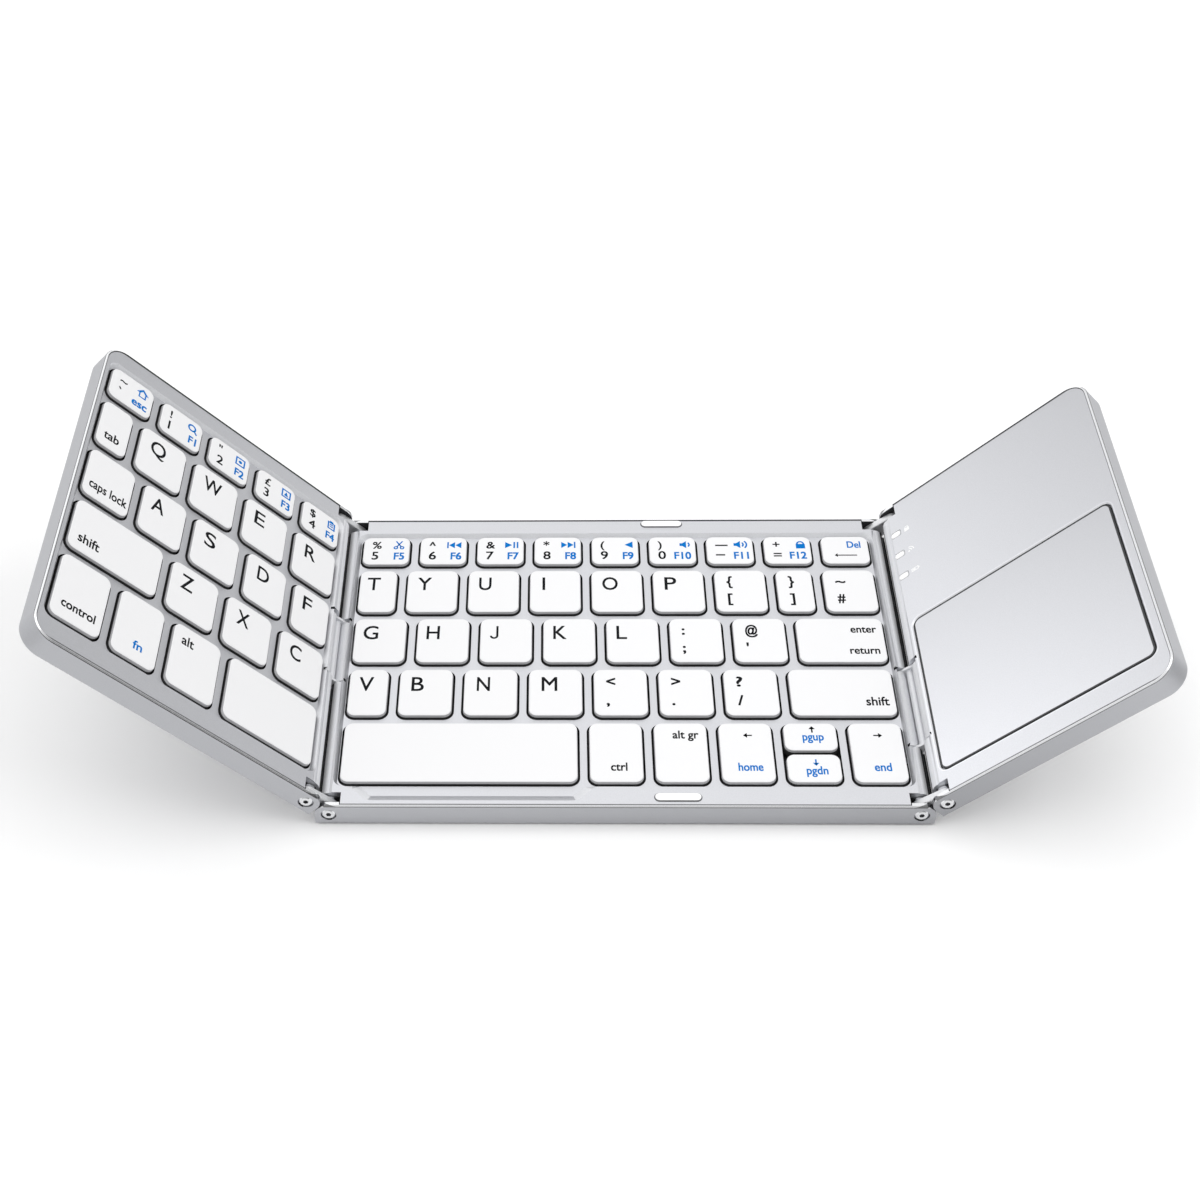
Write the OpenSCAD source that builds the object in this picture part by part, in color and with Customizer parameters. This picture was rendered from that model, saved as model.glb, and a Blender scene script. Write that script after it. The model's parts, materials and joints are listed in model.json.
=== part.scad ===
/* [Panels] */
// Width of the middle panel, from hinge end to hinge end
middle_w = 165; // [150:0.5:190]
// Width of the left panel
left_w = 91.8; // [89:0.1:94]
// Width of the right panel
right_w = 72.8; // [70:0.1:76]
// Depth of every panel, front to rear
depth = 114; // [110:0.5:124]
// Thickness of a closed panel without its feet
panel_t = 7.3; // [7:0.1:9]
// Plan radius of the outer corners
corner_r = 6.5; // [3:0.5:12]
// Thickness of the case walls
wall_t = 1.5; // [1.2:0.1:2]
// Thickness of the case floor
floor_t = 1; // [0.8:0.1:1.4]
// Thickness of the lip that frames the deck
lip_t = 0.6; // [0.5:0.05:0.9]
// Polished chamfer on the lip
lip_chamfer = 0.45; // [0.2:0.05:0.5]
// Radius of the bottom edge
base_edge_r = 0.6; // [0.2:0.1:0.8]

/* [Deck] */
// Depth of the deck surface below the lip
deck_drop = 0.15; // [0.05:0.05:0.4]
// Thickness of the deck plate at its border
deck_t = 1.85; // [1.5:0.05:2.4]
// Gap between the deck and the lip
deck_gap = 0.2; // [0.1:0.05:0.3]
// Depth of the key well below the deck surface
well_depth = 1.3; // [0.5:0.1:1.4]
// Run of the sloping edge round the key well
well_slope = 0.9; // [0.3:0.1:1]
// Plan radius of the corners of the key well
well_r = 3; // [2.5:0.1:3.2]
// Margin from the key windows to the edge of the well
well_margin = 1; // [0.8:0.1:1.3]
// Depth of the thumb scoop in front of the space key
scoop_d = 4.8; // [3:0.1:5.4]
// Radius of the bends of the thumb scoop
scoop_r = 3; // [2.9:0.1:4]
// Run of the sloping edge of the thumb scoop
scoop_slope = 2.5; // [1.5:0.1:2.8]

/* [Hinges] */
// Distance from a pivot to the end of its panel
pivot_end = 3.75; // [3.5:0.05:4]
// Distance from a pivot to the top face of its panel
pivot_top = 3.65; // [3.4:0.05:3.8]
// Space between two top faces when the keyboard is folded
fold_gap = 0.4; // [0.35:0.05:0.8]
// Radius of the rounded upper corner of the hinge ears
ear_r = 3.6; // [3.3:0.05:3.6]
// Radius of the rolled deck edge about its pivot
roll_r = 3.15; // [3:0.05:3.3]
// Run of the slope that joins the rolled edge to the deck
roll_run = 0.75; // [0.4:0.05:1]
// Reach of the deck lip in from the hinge end
roll_lip = 2; // [1.8:0.1:2.2]
// Length of the corner notches that the links swing in
notch_l = 6.8; // [6.5:0.1:8]
// Wall between a notch and the space inside
notch_wall = 0.7; // [0.6:0.1:1]
// Width of the corner notches
notch_w = 3.3; // [3:0.1:3.6]
// Thickness of a link
link_t = 2.2; // [1.6:0.1:2.2]
// Radius of the round ends of a link
link_r = 2.5; // [2:0.1:2.6]
// Chamfer round the edges of a link
link_chamfer = 0.25; // [0.1:0.05:0.4]
// Side play between a link and the wall beside it
link_play = 0.1; // [0.05:0.05:0.2]
// Lift of the left link from flat, as the object stands
left_link_angle = 43.5; // [0:0.5:90]
// Lift of the left panel from flat, as the object stands
left_panel_angle = 45.5; // [0:0.5:90]
// Lift of the right link from flat, as the object stands
right_link_angle = 39.5; // [0:0.5:90]
// Lift of the right panel from flat, as the object stands
right_panel_angle = 45; // [0:0.5:90]

/* [Hinge screws] */
// Height of the chamfer on the screw head
head_chamfer = 0.3; // [0.1:0.05:0.35]
// Width of the chamfer on the screw head
head_slope = 0.45; // [0.2:0.05:0.6]
// Diameter of the screw shank
screw_d = 2; // [1.6:0.1:2.2]
// Radial play of a link on its screw
pivot_play = 0.05; // [0.02:0.01:0.1]
// Diameter of the screw head
head_d = 3.9; // [3.4:0.1:4.2]
// Height of the screw head
head_h = 0.7; // [0.5:0.05:0.8]
// Depth of the recess that holds the head
head_recess = 0.8; // [0.6:0.05:0.9]
// Radial gap round the head in its recess
head_gap = 0.15; // [0.05:0.05:0.3]
// Width across the flats of the hexagon socket
socket_af = 1.3; // [0.9:0.1:1.5]
// Depth of the hexagon socket
socket_d = 0.45; // [0.2:0.05:0.6]
// Length of thread in the inner hinge block
thread_l = 2.3; // [2:0.1:2.5]
// Outer diameter of the friction washers
washer_d = 4; // [3:0.1:4.6]

/* [Cable covers] */
// Length of the left cable cover
left_cover_l = 25; // [15:0.5:40]
// Distance from the front face to the middle of the left cable cover
left_cover_front = 58.5; // [45:0.5:70]
// Length of the right cable cover
right_cover_l = 29.5; // [15:0.5:40]
// Distance from the front face to the middle of the right cable cover
right_cover_front = 36.5; // [32:0.5:70]
// Width of a cable cover across the hinge gap
cover_w = 2.3; // [1.8:0.1:2.6]
// Wall of a cable cover
cover_wall = 0.5; // [0.4:0.05:0.6]
// Extra thickness of a cable cover under its round top
cover_crown = 0.4; // [0.2:0.05:0.5]
// Height of a cable cover above the line of its pivots
cover_rise = 0.35; // [0.2:0.05:0.5]
// Depth of a cable cover below the line of its pivots
cover_drop = 1.6; // [1.2:0.1:2]
// Clearance between a cable cover and the round knuckles beside it
cover_gap = 0.2; // [0.1:0.05:0.25]
// Thickness of the arms at the ends of a cable cover
cover_arm_t = 0.8; // [0.6:0.1:1]
// Radius of the round ends of those arms
cover_arm_r = 1.1; // [1:0.1:1.2]
// Side play of the arms in their slots
cover_arm_play = 0.1; // [0.05:0.05:0.15]
// Diameter of the pins on the arms
cover_pin_d = 1; // [0.8:0.1:1.2]
// Length of the pins on the arms
cover_pin_l = 1.3; // [0.8:0.1:2]
// Thickness of the flat cable
cable_t = 0.3; // [0.15:0.05:0.4]
// Width of the flat cable
cable_w = 19; // [10:0.5:24]
// Foot of the round knuckles beside the covers, behind the pivot
knuckle_foot = 1.2; // [0.8:0.1:1.4]

/* [Keys] */
// Width of the window of a letter key
letter_w = 16.3; // [15.6:0.1:16.6]
// Width of the window of a narrow letter key
narrow_w = 12.3; // [11:0.1:13]
// Width of the windows of the small keys in the space row
small_w = 15.75; // [15:0.05:16.5]
// Width of the web between two windows side by side
column_web = 1.95; // [1.5:0.05:2.4]
// Width of the web between two rows of windows
row_web = 1.5; // [1.2:0.1:2]
// Depth of the windows in the number row
number_row_d = 13.3; // [12:0.1:14]
// Depth of the windows in the space row
space_row_d = 22.5; // [20:0.1:22.8]
// Distance from the rear face to the windows of the number row
field_rear = 7.4; // [7.2:0.1:8.5]
// Distance from the front face to the windows of the space row
field_front = 8.1; // [7.5:0.1:9]
// Distance from a hinge end of the middle panel to the windows
middle_margin = 5.5; // [5.4:0.05:7]
// Distance from the hinge end of the left panel to the windows
left_hinge_margin = 5.3; // [5.25:0.05:6]
// Distance from the outer end of the left panel to the windows
left_outer_margin = 2.6; // [2.4:0.05:4]
// Width of the window of the bracket key beside the hash key
bracket_w = 11.9; // [11:0.1:13]
// Width of the window of the caps lock key
caps_lock_w = 15.6; // [15:0.1:16.5]
// Width of the window of the A key
a_w = 15.2; // [15:0.1:16.5]
// Width of the window of the D key
d_w = 15; // [14.8:0.1:16.5]
// Width of the windows of the Z, X and C keys
lower_letter_w = 16.5; // [16:0.1:17]
// Width of the window of the control key
control_w = 16; // [15:0.1:17]
// Width of the window of the function key
function_w = 14.8; // [14:0.1:16]
// Gap between the up and down arrow keys in their window
arrow_gap = 0.6; // [0.4:0.1:1]
// Inset of the thumb scoop from the end of the space key's window
scoop_inset = 3.5; // [2:0.1:6]
// Reach of the thumb scoop past the other end of that window
scoop_reach = 3.95; // [2:0.05:6]
// Margin from the outer windows of the left panel to its well
left_well_margin = 0.8; // [0.6:0.1:1]
// Plan radius of the window corners
window_r = 3; // [2:0.1:3.5]
// Gap between a key cap and its window
cap_gap = 0.3; // [0.2:0.05:0.5]
// Height of a key cap
cap_h = 2.5; // [2.3:0.1:2.7]
// Depth of the cap tops below the lip
cap_drop = 0.2; // [0.1:0.05:0.5]
// Lean of the cap walls from base to top
cap_lean = 0.4; // [0.2:0.05:0.8]
// Radius of the upper edge of a cap
cap_edge_r = 0.35; // [0.1:0.05:0.5]
// Wall of a hollow key cap
cap_wall = 0.8; // [0.6:0.05:1]
// Thickness of the top of a key cap
cap_top_t = 0.9; // [0.7:0.05:1]
// Travel of a key
key_travel = 1.2; // [0.8:0.1:1.2]

/* [Switch layers] */
// Thickness of the steel plate under the keys
plate_t = 0.4; // [0.3:0.05:0.6]
// Height of the steel plate above the case floor
plate_rise = 1.5; // [1.2:0.1:1.5]
// Thickness of the switch film
film_t = 0.25; // [0.15:0.05:0.3]
// Base diameter of a rubber dome
dome_d = 5; // [4:0.1:6]
// Top diameter of a rubber dome
dome_top_d = 3; // [2:0.1:4]
// Height of a rubber dome when it is pressed
dome_h = 1.6; // [1:0.1:1.65]
// Width of the floor ribs that carry the plate
rib_t = 1; // [0.8:0.1:1.4]
// Clearance between the plate and the hinge blocks
plate_play = 0.2; // [0.1:0.05:0.3]
// Inset of the switch film from the ends of the plate
film_inset = 0.4; // [0.2:0.1:0.8]

/* [Touchpad and electronics] */
// Margin from the hinge end to the touchpad
pad_hinge_margin = 5.6; // [5.4:0.1:8]
// Margin from the outer end to the touchpad
pad_outer_margin = 3.4; // [3:0.1:6]
// Depth of the touchpad, front to rear
pad_d = 56.4; // [40:0.1:58]
// Margin from the front face to the touchpad
pad_front_margin = 8; // [7.8:0.1:12]
// Corner radius of the touchpad
pad_r = 2.6; // [1:0.1:4]
// Thickness of the touchpad plate
pad_t = 0.9; // [0.7:0.05:1]
// Gap round the touchpad
pad_gap = 0.25; // [0.1:0.05:0.4]
// Width of the ledge under the touchpad
pad_ledge = 1; // [0.6:0.1:1.5]
// Depth of the touchpad surface below the deck
pad_drop = 0.1; // [0:0.05:0.3]
// Chamfer round the touchpad opening
pad_chamfer = 0.3; // [0.1:0.05:0.4]
// Chamfer on the upper edge of the touchpad
pad_edge = 0.1; // [0.05:0.05:0.3]
// Inset of the touchpad's board from the ledge
touch_board_inset = 0.4; // [0.2:0.1:1]
// Length of an indicator light
light_l = 3.3; // [2:0.1:4]
// Width of an indicator light
light_w = 2.1; // [1.5:0.1:3]
// Spacing of the indicator lights
light_pitch = 8.9; // [6:0.1:10]
// Distance from the rear face to the first indicator light
light_rear = 13.4; // [12:0.1:16]
// Distance from the hinge end to the indicator lights
light_x = 5.9; // [5.6:0.1:8]
// Clearance round an indicator light
light_play = 0.05; // [0.02:0.01:0.1]
// Diameter of the light pipe under an indicator light
light_pipe_d = 1.6; // [1:0.1:1.8]
// Thickness of the circuit boards
board_t = 0.8; // [0.6:0.1:1]
// Height of the main board above the case floor
board_rise = 0.3; // [0.2:0.05:0.4]
// Clearance round the main board
board_play = 0.6; // [0.4:0.1:1]
// Distance from the hinge end to the strip of the main board under the lights
strip_end = 5.4; // [5.2:0.1:5.6]
// Reach of that strip past the first and last lights
strip_reach = 4; // [2:0.5:5]
// Diameter of the pads that carry the main board
board_rest_d = 4; // [3:0.1:5]
// Width of the charging port
port_w = 8.9; // [8:0.1:9.5]
// Height of the charging port
port_h = 3.1; // [2.6:0.1:3.1]
// Length of the charging port
port_l = 7.3; // [6:0.1:9]
// Depth of the mouth of the charging port behind the rear face
port_recess = 0.4; // [0.1:0.1:0.8]
// Shell thickness of the charging port
port_wall = 0.3; // [0.2:0.05:0.4]
// Clearance between the charging port and the case
port_play = 0.1; // [0.05:0.05:0.2]
// Width of the tongue in the charging port
tongue_w = 6.6; // [5:0.1:7]
// Thickness of the tongue in the charging port
tongue_t = 0.7; // [0.5:0.1:1]
// Distance from the hinge end to the charging port
port_x = 46; // [20:1:55]
// Width of the battery
battery_w = 54; // [40:1:58]
// Depth of the battery
battery_d = 38; // [25:1:46]
// Thickness of the battery
battery_t = 2.8; // [2:0.1:2.9]
// Clearance between the battery and its frame
battery_play = 0.2; // [0.1:0.05:0.5]
// Wall of the frame round the battery
battery_frame_t = 1; // [0.8:0.1:1.5]
// Height of the frame round the battery
battery_frame_h = 1.2; // [0.8:0.1:2]

/* [Feet, pads and case screws] */
// Diameter of a rubber foot
foot_d = 5.2; // [4:0.1:5.4]
// Height that a foot stands out
foot_rise = 0.4; // [0.2:0.05:0.8]
// Chamfer round the underside of a foot
foot_chamfer = 0.15; // [0.05:0.05:0.3]
// Depth of the pocket that holds a foot
foot_pocket = 0.5; // [0.3:0.05:0.5]
// Thickness of the case under the head of a case screw
screw_seat_t = 0.9; // [0.6:0.1:1.2]
// Distance from the front and rear faces to the feet
foot_inset = 4.4; // [4:0.1:4.6]
// Distance from the ends of the middle panel to its feet
middle_foot_end = 22.5; // [14:0.5:40]
// Distance from the ends of a side panel to its feet
side_foot_end = 13; // [12:0.5:20]
// Length of a spacer pad
spacer_l = 12.2; // [8:0.1:16]
// Width of a spacer pad
spacer_w = 2.4; // [1.6:0.1:3]
// Height that a spacer pad stands above the lip
spacer_rise = 0.2; // [0.05:0.05:0.3]
// Depth of a spacer pad in the deck
spacer_seat = 0.7; // [0.4:0.1:1]
// Distance from the rear face to the rear spacer pad
spacer_rear = 2.4; // [2.2:0.1:3]
// Distance from the front face to the front spacer pad
spacer_front = 3.4; // [2.2:0.1:3.8]
// Place of the spacer pads across the middle panel
spacer_x = 14.4; // [5:0.1:25]
// Diameter of the case screws
case_screw_d = 1.5; // [1.2:0.1:1.8]
// Diameter of the heads of the case screws
case_head_d = 2.8; // [2.4:0.1:3]
// Height of the heads of the case screws
case_head_h = 0.9; // [0.6:0.1:1]
// Radial clearance round the case screws
case_screw_play = 0.05; // [0.02:0.01:0.1]
// Depth of the deck left over the tips of the case screws
screw_tip = 0.5; // [0.3:0.1:0.8]
// Diameter of the bosses round the case screws
boss_d = 4.2; // [3.6:0.1:4.4]

/* [Hidden] */
$fn = 48;
eps = 0.01;
case_colour = "#c4c5c9";
deck_colour = "#d5d7dc";
cap_colour = "#f6f6f6";
steel_colour = "#e3e4e6";
rubber_colour = "#3a3a3c";
board_colour = "#2f6b45";
film_colour = "#e8e4d8";
cable_colour = "#c98a3c";

// Heights in a panel, measured from its underside
pivot_z = panel_t - pivot_top;
deck_top = panel_t - deck_drop;
deck_z = deck_top - deck_t;
well_z = deck_top - well_depth;
cap_top = panel_t - cap_drop;
cap_z = cap_top - cap_h;
plate_z = floor_t + plate_rise;
film_z = plate_z + plate_t;
dome_z = film_z + film_t;
board_z = floor_t + board_rise;
seat_z = deck_top - pad_drop - pad_t;

// Hinge distances
link_pitch = 2 * pivot_top + fold_gap;
pivot_x = middle_w / 2 - pivot_end;
notch_y = depth / 2 - wall_t - notch_w;
block_y = notch_y - thread_l;
block_l = notch_l + notch_wall;
washer_t = notch_w - link_t - 2 * link_play;
knuckle_r = link_pitch / 2 - cover_w / 2 - cover_gap;
pocket_x = pivot_end + cover_rise + cover_gap;
cover_ceiling = cover_rise - cover_wall - cover_crown;
left_cover_y = left_cover_front - depth / 2;
right_cover_y = right_cover_front - depth / 2;

// Half of the overhang of the left side, which centres the keyboard over the origin
centre_x = snapped((side_reach(left_w, left_link_angle, left_panel_angle)
    - side_reach(right_w, right_link_angle, right_panel_angle)) / 2);

// Key field, in y from rear to front
keys_rear = depth / 2 - field_rear;
letter_row_d = snapped((depth - field_rear - field_front - number_row_d - space_row_d
    - 4 * row_web) / 3);
row_depths = [number_row_d, letter_row_d, letter_row_d, letter_row_d, space_row_d];
row_rears = [for (r = [0:4]) keys_rear - sum(row_depths, r) - r * row_web];
keys_front = row_rears[4] - row_depths[4];
middle_field = middle_w - 2 * middle_margin;
left_field = left_w - left_hinge_margin - left_outer_margin;
number_w = snapped((middle_field - 8 * column_web) / 9);
left_number_w = snapped((left_field - 4 * column_web) / 5);

// Window widths of each row; the middle panel from its left end to its right
// end, the left panel from its outer end to its hinge end
middle_rows = [
    fill_last([for (i = [1:8]) number_w], middle_field),
    fill_last([narrow_w, for (i = [1:6]) letter_w, bracket_w], middle_field),
    fill_last([for (i = [1:7]) letter_w], middle_field),
    fill_last([narrow_w, for (i = [1:6]) letter_w], middle_field),
    fill_first([for (i = [1:5]) small_w], middle_field)
];
left_rows = [
    fill_last([for (i = [1:4]) left_number_w], left_field),
    fill_first([for (i = [1:4]) letter_w], left_field),
    fill_last([caps_lock_w, a_w, letter_w, d_w], left_field),
    fill_first([for (i = [1:3]) lower_letter_w], left_field),
    fill_last([control_w, function_w, letter_w], left_field)
];
arrow_column = 4;
arrow_d = (space_row_d - 2 * cap_gap - arrow_gap) / 2;

// A size in steps of 0.004 mm, so that arcs and flats of one outline meet
function snapped(size) = round(size * 250) / 250;

// Reach of a side panel in x, from the middle of the middle panel to its lower outer edge
function side_reach(w, link_angle, panel_angle) =
    pivot_x + link_pitch * cos(link_angle) + (w - base_edge_r - pivot_end) * cos(panel_angle)
    + (pivot_z - base_edge_r) * sin(panel_angle) + base_edge_r;

// Sum of the first n values of a list
function sum(list, n) = n <= 0 ? 0 : list[n - 1] + sum(list, n - 1);

// Adds a last or a first width that fills the field
function spare(widths, field) = field - sum(widths, len(widths)) - len(widths) * column_web;
function fill_last(widths, field) = concat(widths, spare(widths, field));
function fill_first(widths, field) = concat(spare(widths, field), widths);

// Start of window i in a row of widths
function start(widths, i) = sum(widths, i) + i * column_web;

// Window [x, y, w, d], centre and size, in the panel's own frame
function middle_window(r, i) =
    let (w = middle_rows[r][i])
    [start(middle_rows[r], i) + w / 2 - middle_field / 2, row_rears[r] - row_depths[r] / 2,
     w, row_depths[r]];
function left_window(r, i) =
    let (w = left_rows[r][i])
    [left_w - left_outer_margin - start(left_rows[r], i) - w / 2,
     row_rears[r] - row_depths[r] / 2, w, row_depths[r]];

// Half of the space row window, for the upper (1) or the lower (-1) arrow cap
function arrow_window(side) =
    let (k = middle_window(4, arrow_column))
    [k[0], k[1] + side * (arrow_d + arrow_gap) / 2, k[2], arrow_d + 2 * cap_gap];

middle_windows = [for (r = [0:4]) for (i = [0:len(middle_rows[r]) - 1]) middle_window(r, i)];
left_windows = [for (r = [0:4]) for (i = [0:len(left_rows[r]) - 1]) left_window(r, i)];

// Windows that hold one key each, so without the shared arrow window
middle_keys = concat(
    [for (r = [0:4]) for (i = [0:len(middle_rows[r]) - 1])
        if (r < 4 || i != arrow_column) middle_window(r, i)],
    [arrow_window(1), arrow_window(-1)]);

// Places of the feet and case screws
foot_y = depth / 2 - foot_inset;
middle_feet_at = [for (x = [-1, 1], y = [-1, 1])
    [x * (middle_w / 2 - middle_foot_end), y * foot_y]];
function side_feet_at(w) = [for (x = [side_foot_end, w - side_foot_end], y = [-1, 1])
    [x, y * foot_y]];

// Touchpad and light places on the right panel
pad_w = right_w - pad_hinge_margin - pad_outer_margin;
pad_x = pad_hinge_margin + pad_w / 2;
pad_y = -depth / 2 + pad_front_margin + pad_d / 2;
light_ys = [for (i = [0:2]) depth / 2 - light_rear - i * light_pitch];
board_front = pad_y + pad_d / 2 + 3;
port_z = board_z + board_t + port_h / 2;

// ---------- placing ----------

// Frame of the middle panel, which stands on its feet
module in_middle() {
    translate([centre_x, 0, foot_rise]) children();
}

// Frame of a link on the right: pivots at x = 0 and x = link_pitch
module on_link(link_angle) {
    translate([pivot_x, 0, pivot_z]) rotate([0, -link_angle, 0]) children();
}

// Frame of a side panel: hinge end at x = 0, underside at z = 0
module on_side(link_angle, panel_angle) {
    on_link(link_angle) translate([link_pitch, 0, 0])
        rotate([0, link_angle - panel_angle, 0])
        translate([-pivot_end, 0, -pivot_z]) children();
}

module on_left() {
    in_middle() mirror([1, 0, 0]) on_side(left_link_angle, left_panel_angle) children();
}

module on_right() {
    in_middle() on_side(right_link_angle, right_panel_angle) children();
}

module on_left_link() {
    in_middle() mirror([1, 0, 0]) on_link(left_link_angle) children();
}

module on_right_link() {
    in_middle() on_link(right_link_angle) children();
}

module front_and_rear() {
    children();
    mirror([0, 1, 0]) children();
}

// Frame of the middle panel from its left end, like that of a side panel
module from_left_end() {
    translate([-middle_w / 2, 0, 0]) children();
}

// The same thing again at the far end of a panel
module far_end(w) {
    translate([w, 0, 0]) mirror([1, 0, 0]) children();
}

// One hinge end, or two when the panel is a twin-ended one
module each_hinge_end(w, twin) {
    children();
    if (twin) far_end(w) children();
}

// ---------- shapes ----------

// Rounded rectangle round the origin
module rounded_rect(w, d, r) {
    square([w - 2 * r, d], center = true);
    square([w, d - 2 * r], center = true);
    for (x = [-1, 1], y = [-1, 1]) translate([x * (w / 2 - r), y * (d / 2 - r)]) circle(r);
}

// Slot shape with full round ends, round the origin
module pill(l, w) {
    square([l - w, w], center = true);
    for (x = [-1, 1]) translate([x * (l - w) / 2, 0]) circle(d = w);
}

// Solid over a rounded rectangle whose wall follows [inset, z] points upward
module walled_block(w, d, r, wall) {
    z0 = wall[0][1];
    z1 = wall[len(wall) - 1][1];
    corner = concat([[0, z0]], [for (p = wall) [r - p[0], p[1]]], [[0, z1]]);
    for (x = [-1, 1], y = [-1, 1]) translate([x * (w / 2 - r), y * (d / 2 - r), 0])
        rotate_extrude() polygon(corner);
    translate([0, d / 2 - r, 0]) rotate([90, 0, 0]) linear_extrude(d - 2 * r)
        polygon(both_walls(w / 2, wall));
    translate([-(w / 2 - r), 0, 0]) rotate([90, 0, 90]) linear_extrude(w - 2 * r)
        polygon(both_walls(d / 2, wall));
}

function both_walls(half, wall) = concat(
    [for (p = wall) [half - p[0], p[1]]],
    [for (i = [len(wall) - 1:-1:0]) [wall[i][0] - half, wall[i][1]]]);

// Arc that turns a path from heading a0 to heading a1 at corner p
function bend(p, a0, a1, r, steps = 6) =
    let (side = sign(a1 - a0), c = p - r * tan(abs(a1 - a0) / 2) * [cos(a0), sin(a0)]
        + side * r * [-sin(a0), cos(a0)])
    [for (i = [0:steps]) let (a = a0 + (a1 - a0) * i / steps) c + side * r * [sin(a), -cos(a)]];

// Extrudes an x and z section from y = from to y = to
module across(from, to) {
    translate([0, to, 0]) rotate([90, 0, 0]) linear_extrude(to - from) children();
}

// Section of the case at a hinge end, with the rounded corner of the ears
module ear_section(length) {
    square([length, panel_t - ear_r]);
    translate([ear_r, 0]) square([length - ear_r, panel_t]);
    intersection() {
        translate([ear_r, panel_t - ear_r]) circle(ear_r);
        square([length, panel_t]);
    }
}

// Section of the deck at a hinge end, with its rolled edge
module roll_section(length) {
    intersection() {
        translate([pivot_end, pivot_z]) circle(roll_r);
        square([pivot_end + eps, panel_t]);
    }
    polygon([[pivot_end, 0], [pivot_end, pivot_z + roll_r], [pivot_end + roll_run, deck_top],
        [length, deck_top], [length, 0]]);
}

// Section of the pocket in a hinge end that a cable cover swings through
module pocket_section() {
    translate([-eps, pivot_z - cover_drop - cover_gap]) square([pocket_x + eps, panel_t]);
}

// Section of the slots for the arms of a cable cover
module slot_section() {
    reach = cover_arm_r + cover_arm_play;
    translate([-eps, pivot_z - reach]) square([pivot_end + reach + eps, panel_t]);
}

// Section of the round knuckle beside a cable cover
module knuckle_section() {
    intersection() {
        union() {
            translate([pivot_end, pivot_z]) circle(knuckle_r);
            translate([pivot_end - knuckle_r, eps]) square([knuckle_r + knuckle_foot, pivot_z]);
        }
        union() {
            square([pivot_end + knuckle_foot, deck_z - eps]);
            square([pocket_x - cover_arm_play / 2, panel_t]);
        }
    }
}

// ---------- cases ----------

// Section of a panel with a hinge end at x = 0, and at x = w if it is twin
module shared_section(w, twin) {
    if (twin) intersection() {
        children();
        far_end(w) children();
    }
    else children();
}

// Outer form of a panel from x = 0 to x = w
module panel_form(w, twin) {
    reach = twin ? w + 4 * corner_r : w;
    wall = concat(
        [for (i = [0:4]) let (a = 22.5 * i)
            base_edge_r * [1 - sin(a), 1 - cos(a)]],
        [[0, panel_t - lip_chamfer], [lip_chamfer, panel_t]]);
    intersection() {
        walled_block(2 * reach, depth, corner_r, wall);
        across(-depth / 2, depth / 2) shared_section(w, twin) ear_section(w);
    }
}

// Plan of the space inside the walls of a panel; blocks stay at the notches
module room_plan(w, twin) {
    r = corner_r - wall_t;
    difference() {
        intersection() {
            rounded_rect(2 * (twin ? w + 2 * r : w - wall_t), depth - 2 * wall_t, r);
            translate([wall_t, -depth / 2]) square([twin ? w - 2 * wall_t : w, depth]);
        }
        each_hinge_end(w, twin) front_and_rear()
            translate([0, block_y]) square([block_l, depth]);
    }
}

// Plan of the space for a deck, drawn in by an inset from the outer faces
module deck_plan(w, twin, inset, from) {
    r = corner_r - inset;
    intersection() {
        rounded_rect(2 * (twin ? w + 2 * r : w - inset), depth - 2 * inset, r);
        translate([from, -depth / 2]) square([twin ? w - 2 * from : w + 1, depth]);
    }
}

// Corners of a hinge end with the notches and ears, grown by a gap
module notch_plan(gap) {
    front_and_rear() translate([-2, notch_y - gap])
        square([notch_l + 2 + gap, depth]);
}

module case_shell(w, twin) {
    difference() {
        panel_form(w, twin);
        translate([0, 0, floor_t]) linear_extrude(panel_t) room_plan(w, twin);
        translate([0, 0, deck_z]) linear_extrude(panel_t) difference() {
            deck_plan(w, twin, lip_t, -1);
            each_hinge_end(w, twin) notch_plan(0);
        }
        each_hinge_end(w, twin) across(-notch_y, notch_y)
            translate([-eps, pivot_z]) square([roll_lip + deck_gap / 2 + eps, panel_t]);
    }
}

// Notches for the links, bores and head recesses of the hinge screws
module hinge_cuts() {
    front_and_rear() {
        translate([-eps, notch_y, pivot_z - link_r - link_play])
            cube([notch_l + eps, notch_w, panel_t]);
        translate([pivot_end, 0, pivot_z]) rotate([-90, 0, 0]) {
            translate([0, 0, block_y - eps]) cylinder(h = thread_l + 2 * eps, d = screw_d);
            translate([0, 0, notch_y + notch_w / 2])
                cylinder(h = depth, d = screw_d + 2 * pivot_play);
            translate([0, 0, depth / 2 - head_recess])
                cylinder(h = head_recess + eps, d = head_d + 2 * head_gap);
        }
    }
}

// Pocket and arm slots of a cable cover
module cover_cuts(at, length) {
    half = length / 2 + cover_arm_play;
    across(at - half, at + half) pocket_section();
    for (side = [-1, 1]) translate([0, at, 0]) mirror([0, (1 - side) / 2, 0])
        across(half - cover_arm_t - 2 * cover_arm_play, half) slot_section();
}

// Solid knuckle between the arm slots, with the bearings for the arm pins
module cover_knuckle(at, length) {
    half = length / 2 - cover_arm_t - cover_arm_play;
    difference() {
        across(at - half, at + half) knuckle_section();
        for (side = [-1, 1]) translate([pivot_end, at + side * half, pivot_z])
            rotate([side * 90, 0, 0]) translate([0, 0, -eps])
            cylinder(h = cover_pin_l + cover_arm_play, d = cover_pin_d + 2 * pivot_play);
    }
}

module foot_cuts(places) {
    for (p = places) translate(p) {
        translate([0, 0, -eps]) cylinder(h = foot_pocket + eps, d = foot_d);
        translate([0, 0, foot_pocket - eps])
            cylinder(h = plate_z - foot_pocket - screw_seat_t + eps,
                d = case_head_d + 2 * case_screw_play);
        cylinder(h = panel_t, d = case_screw_d + 2 * case_screw_play);
    }
}

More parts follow.
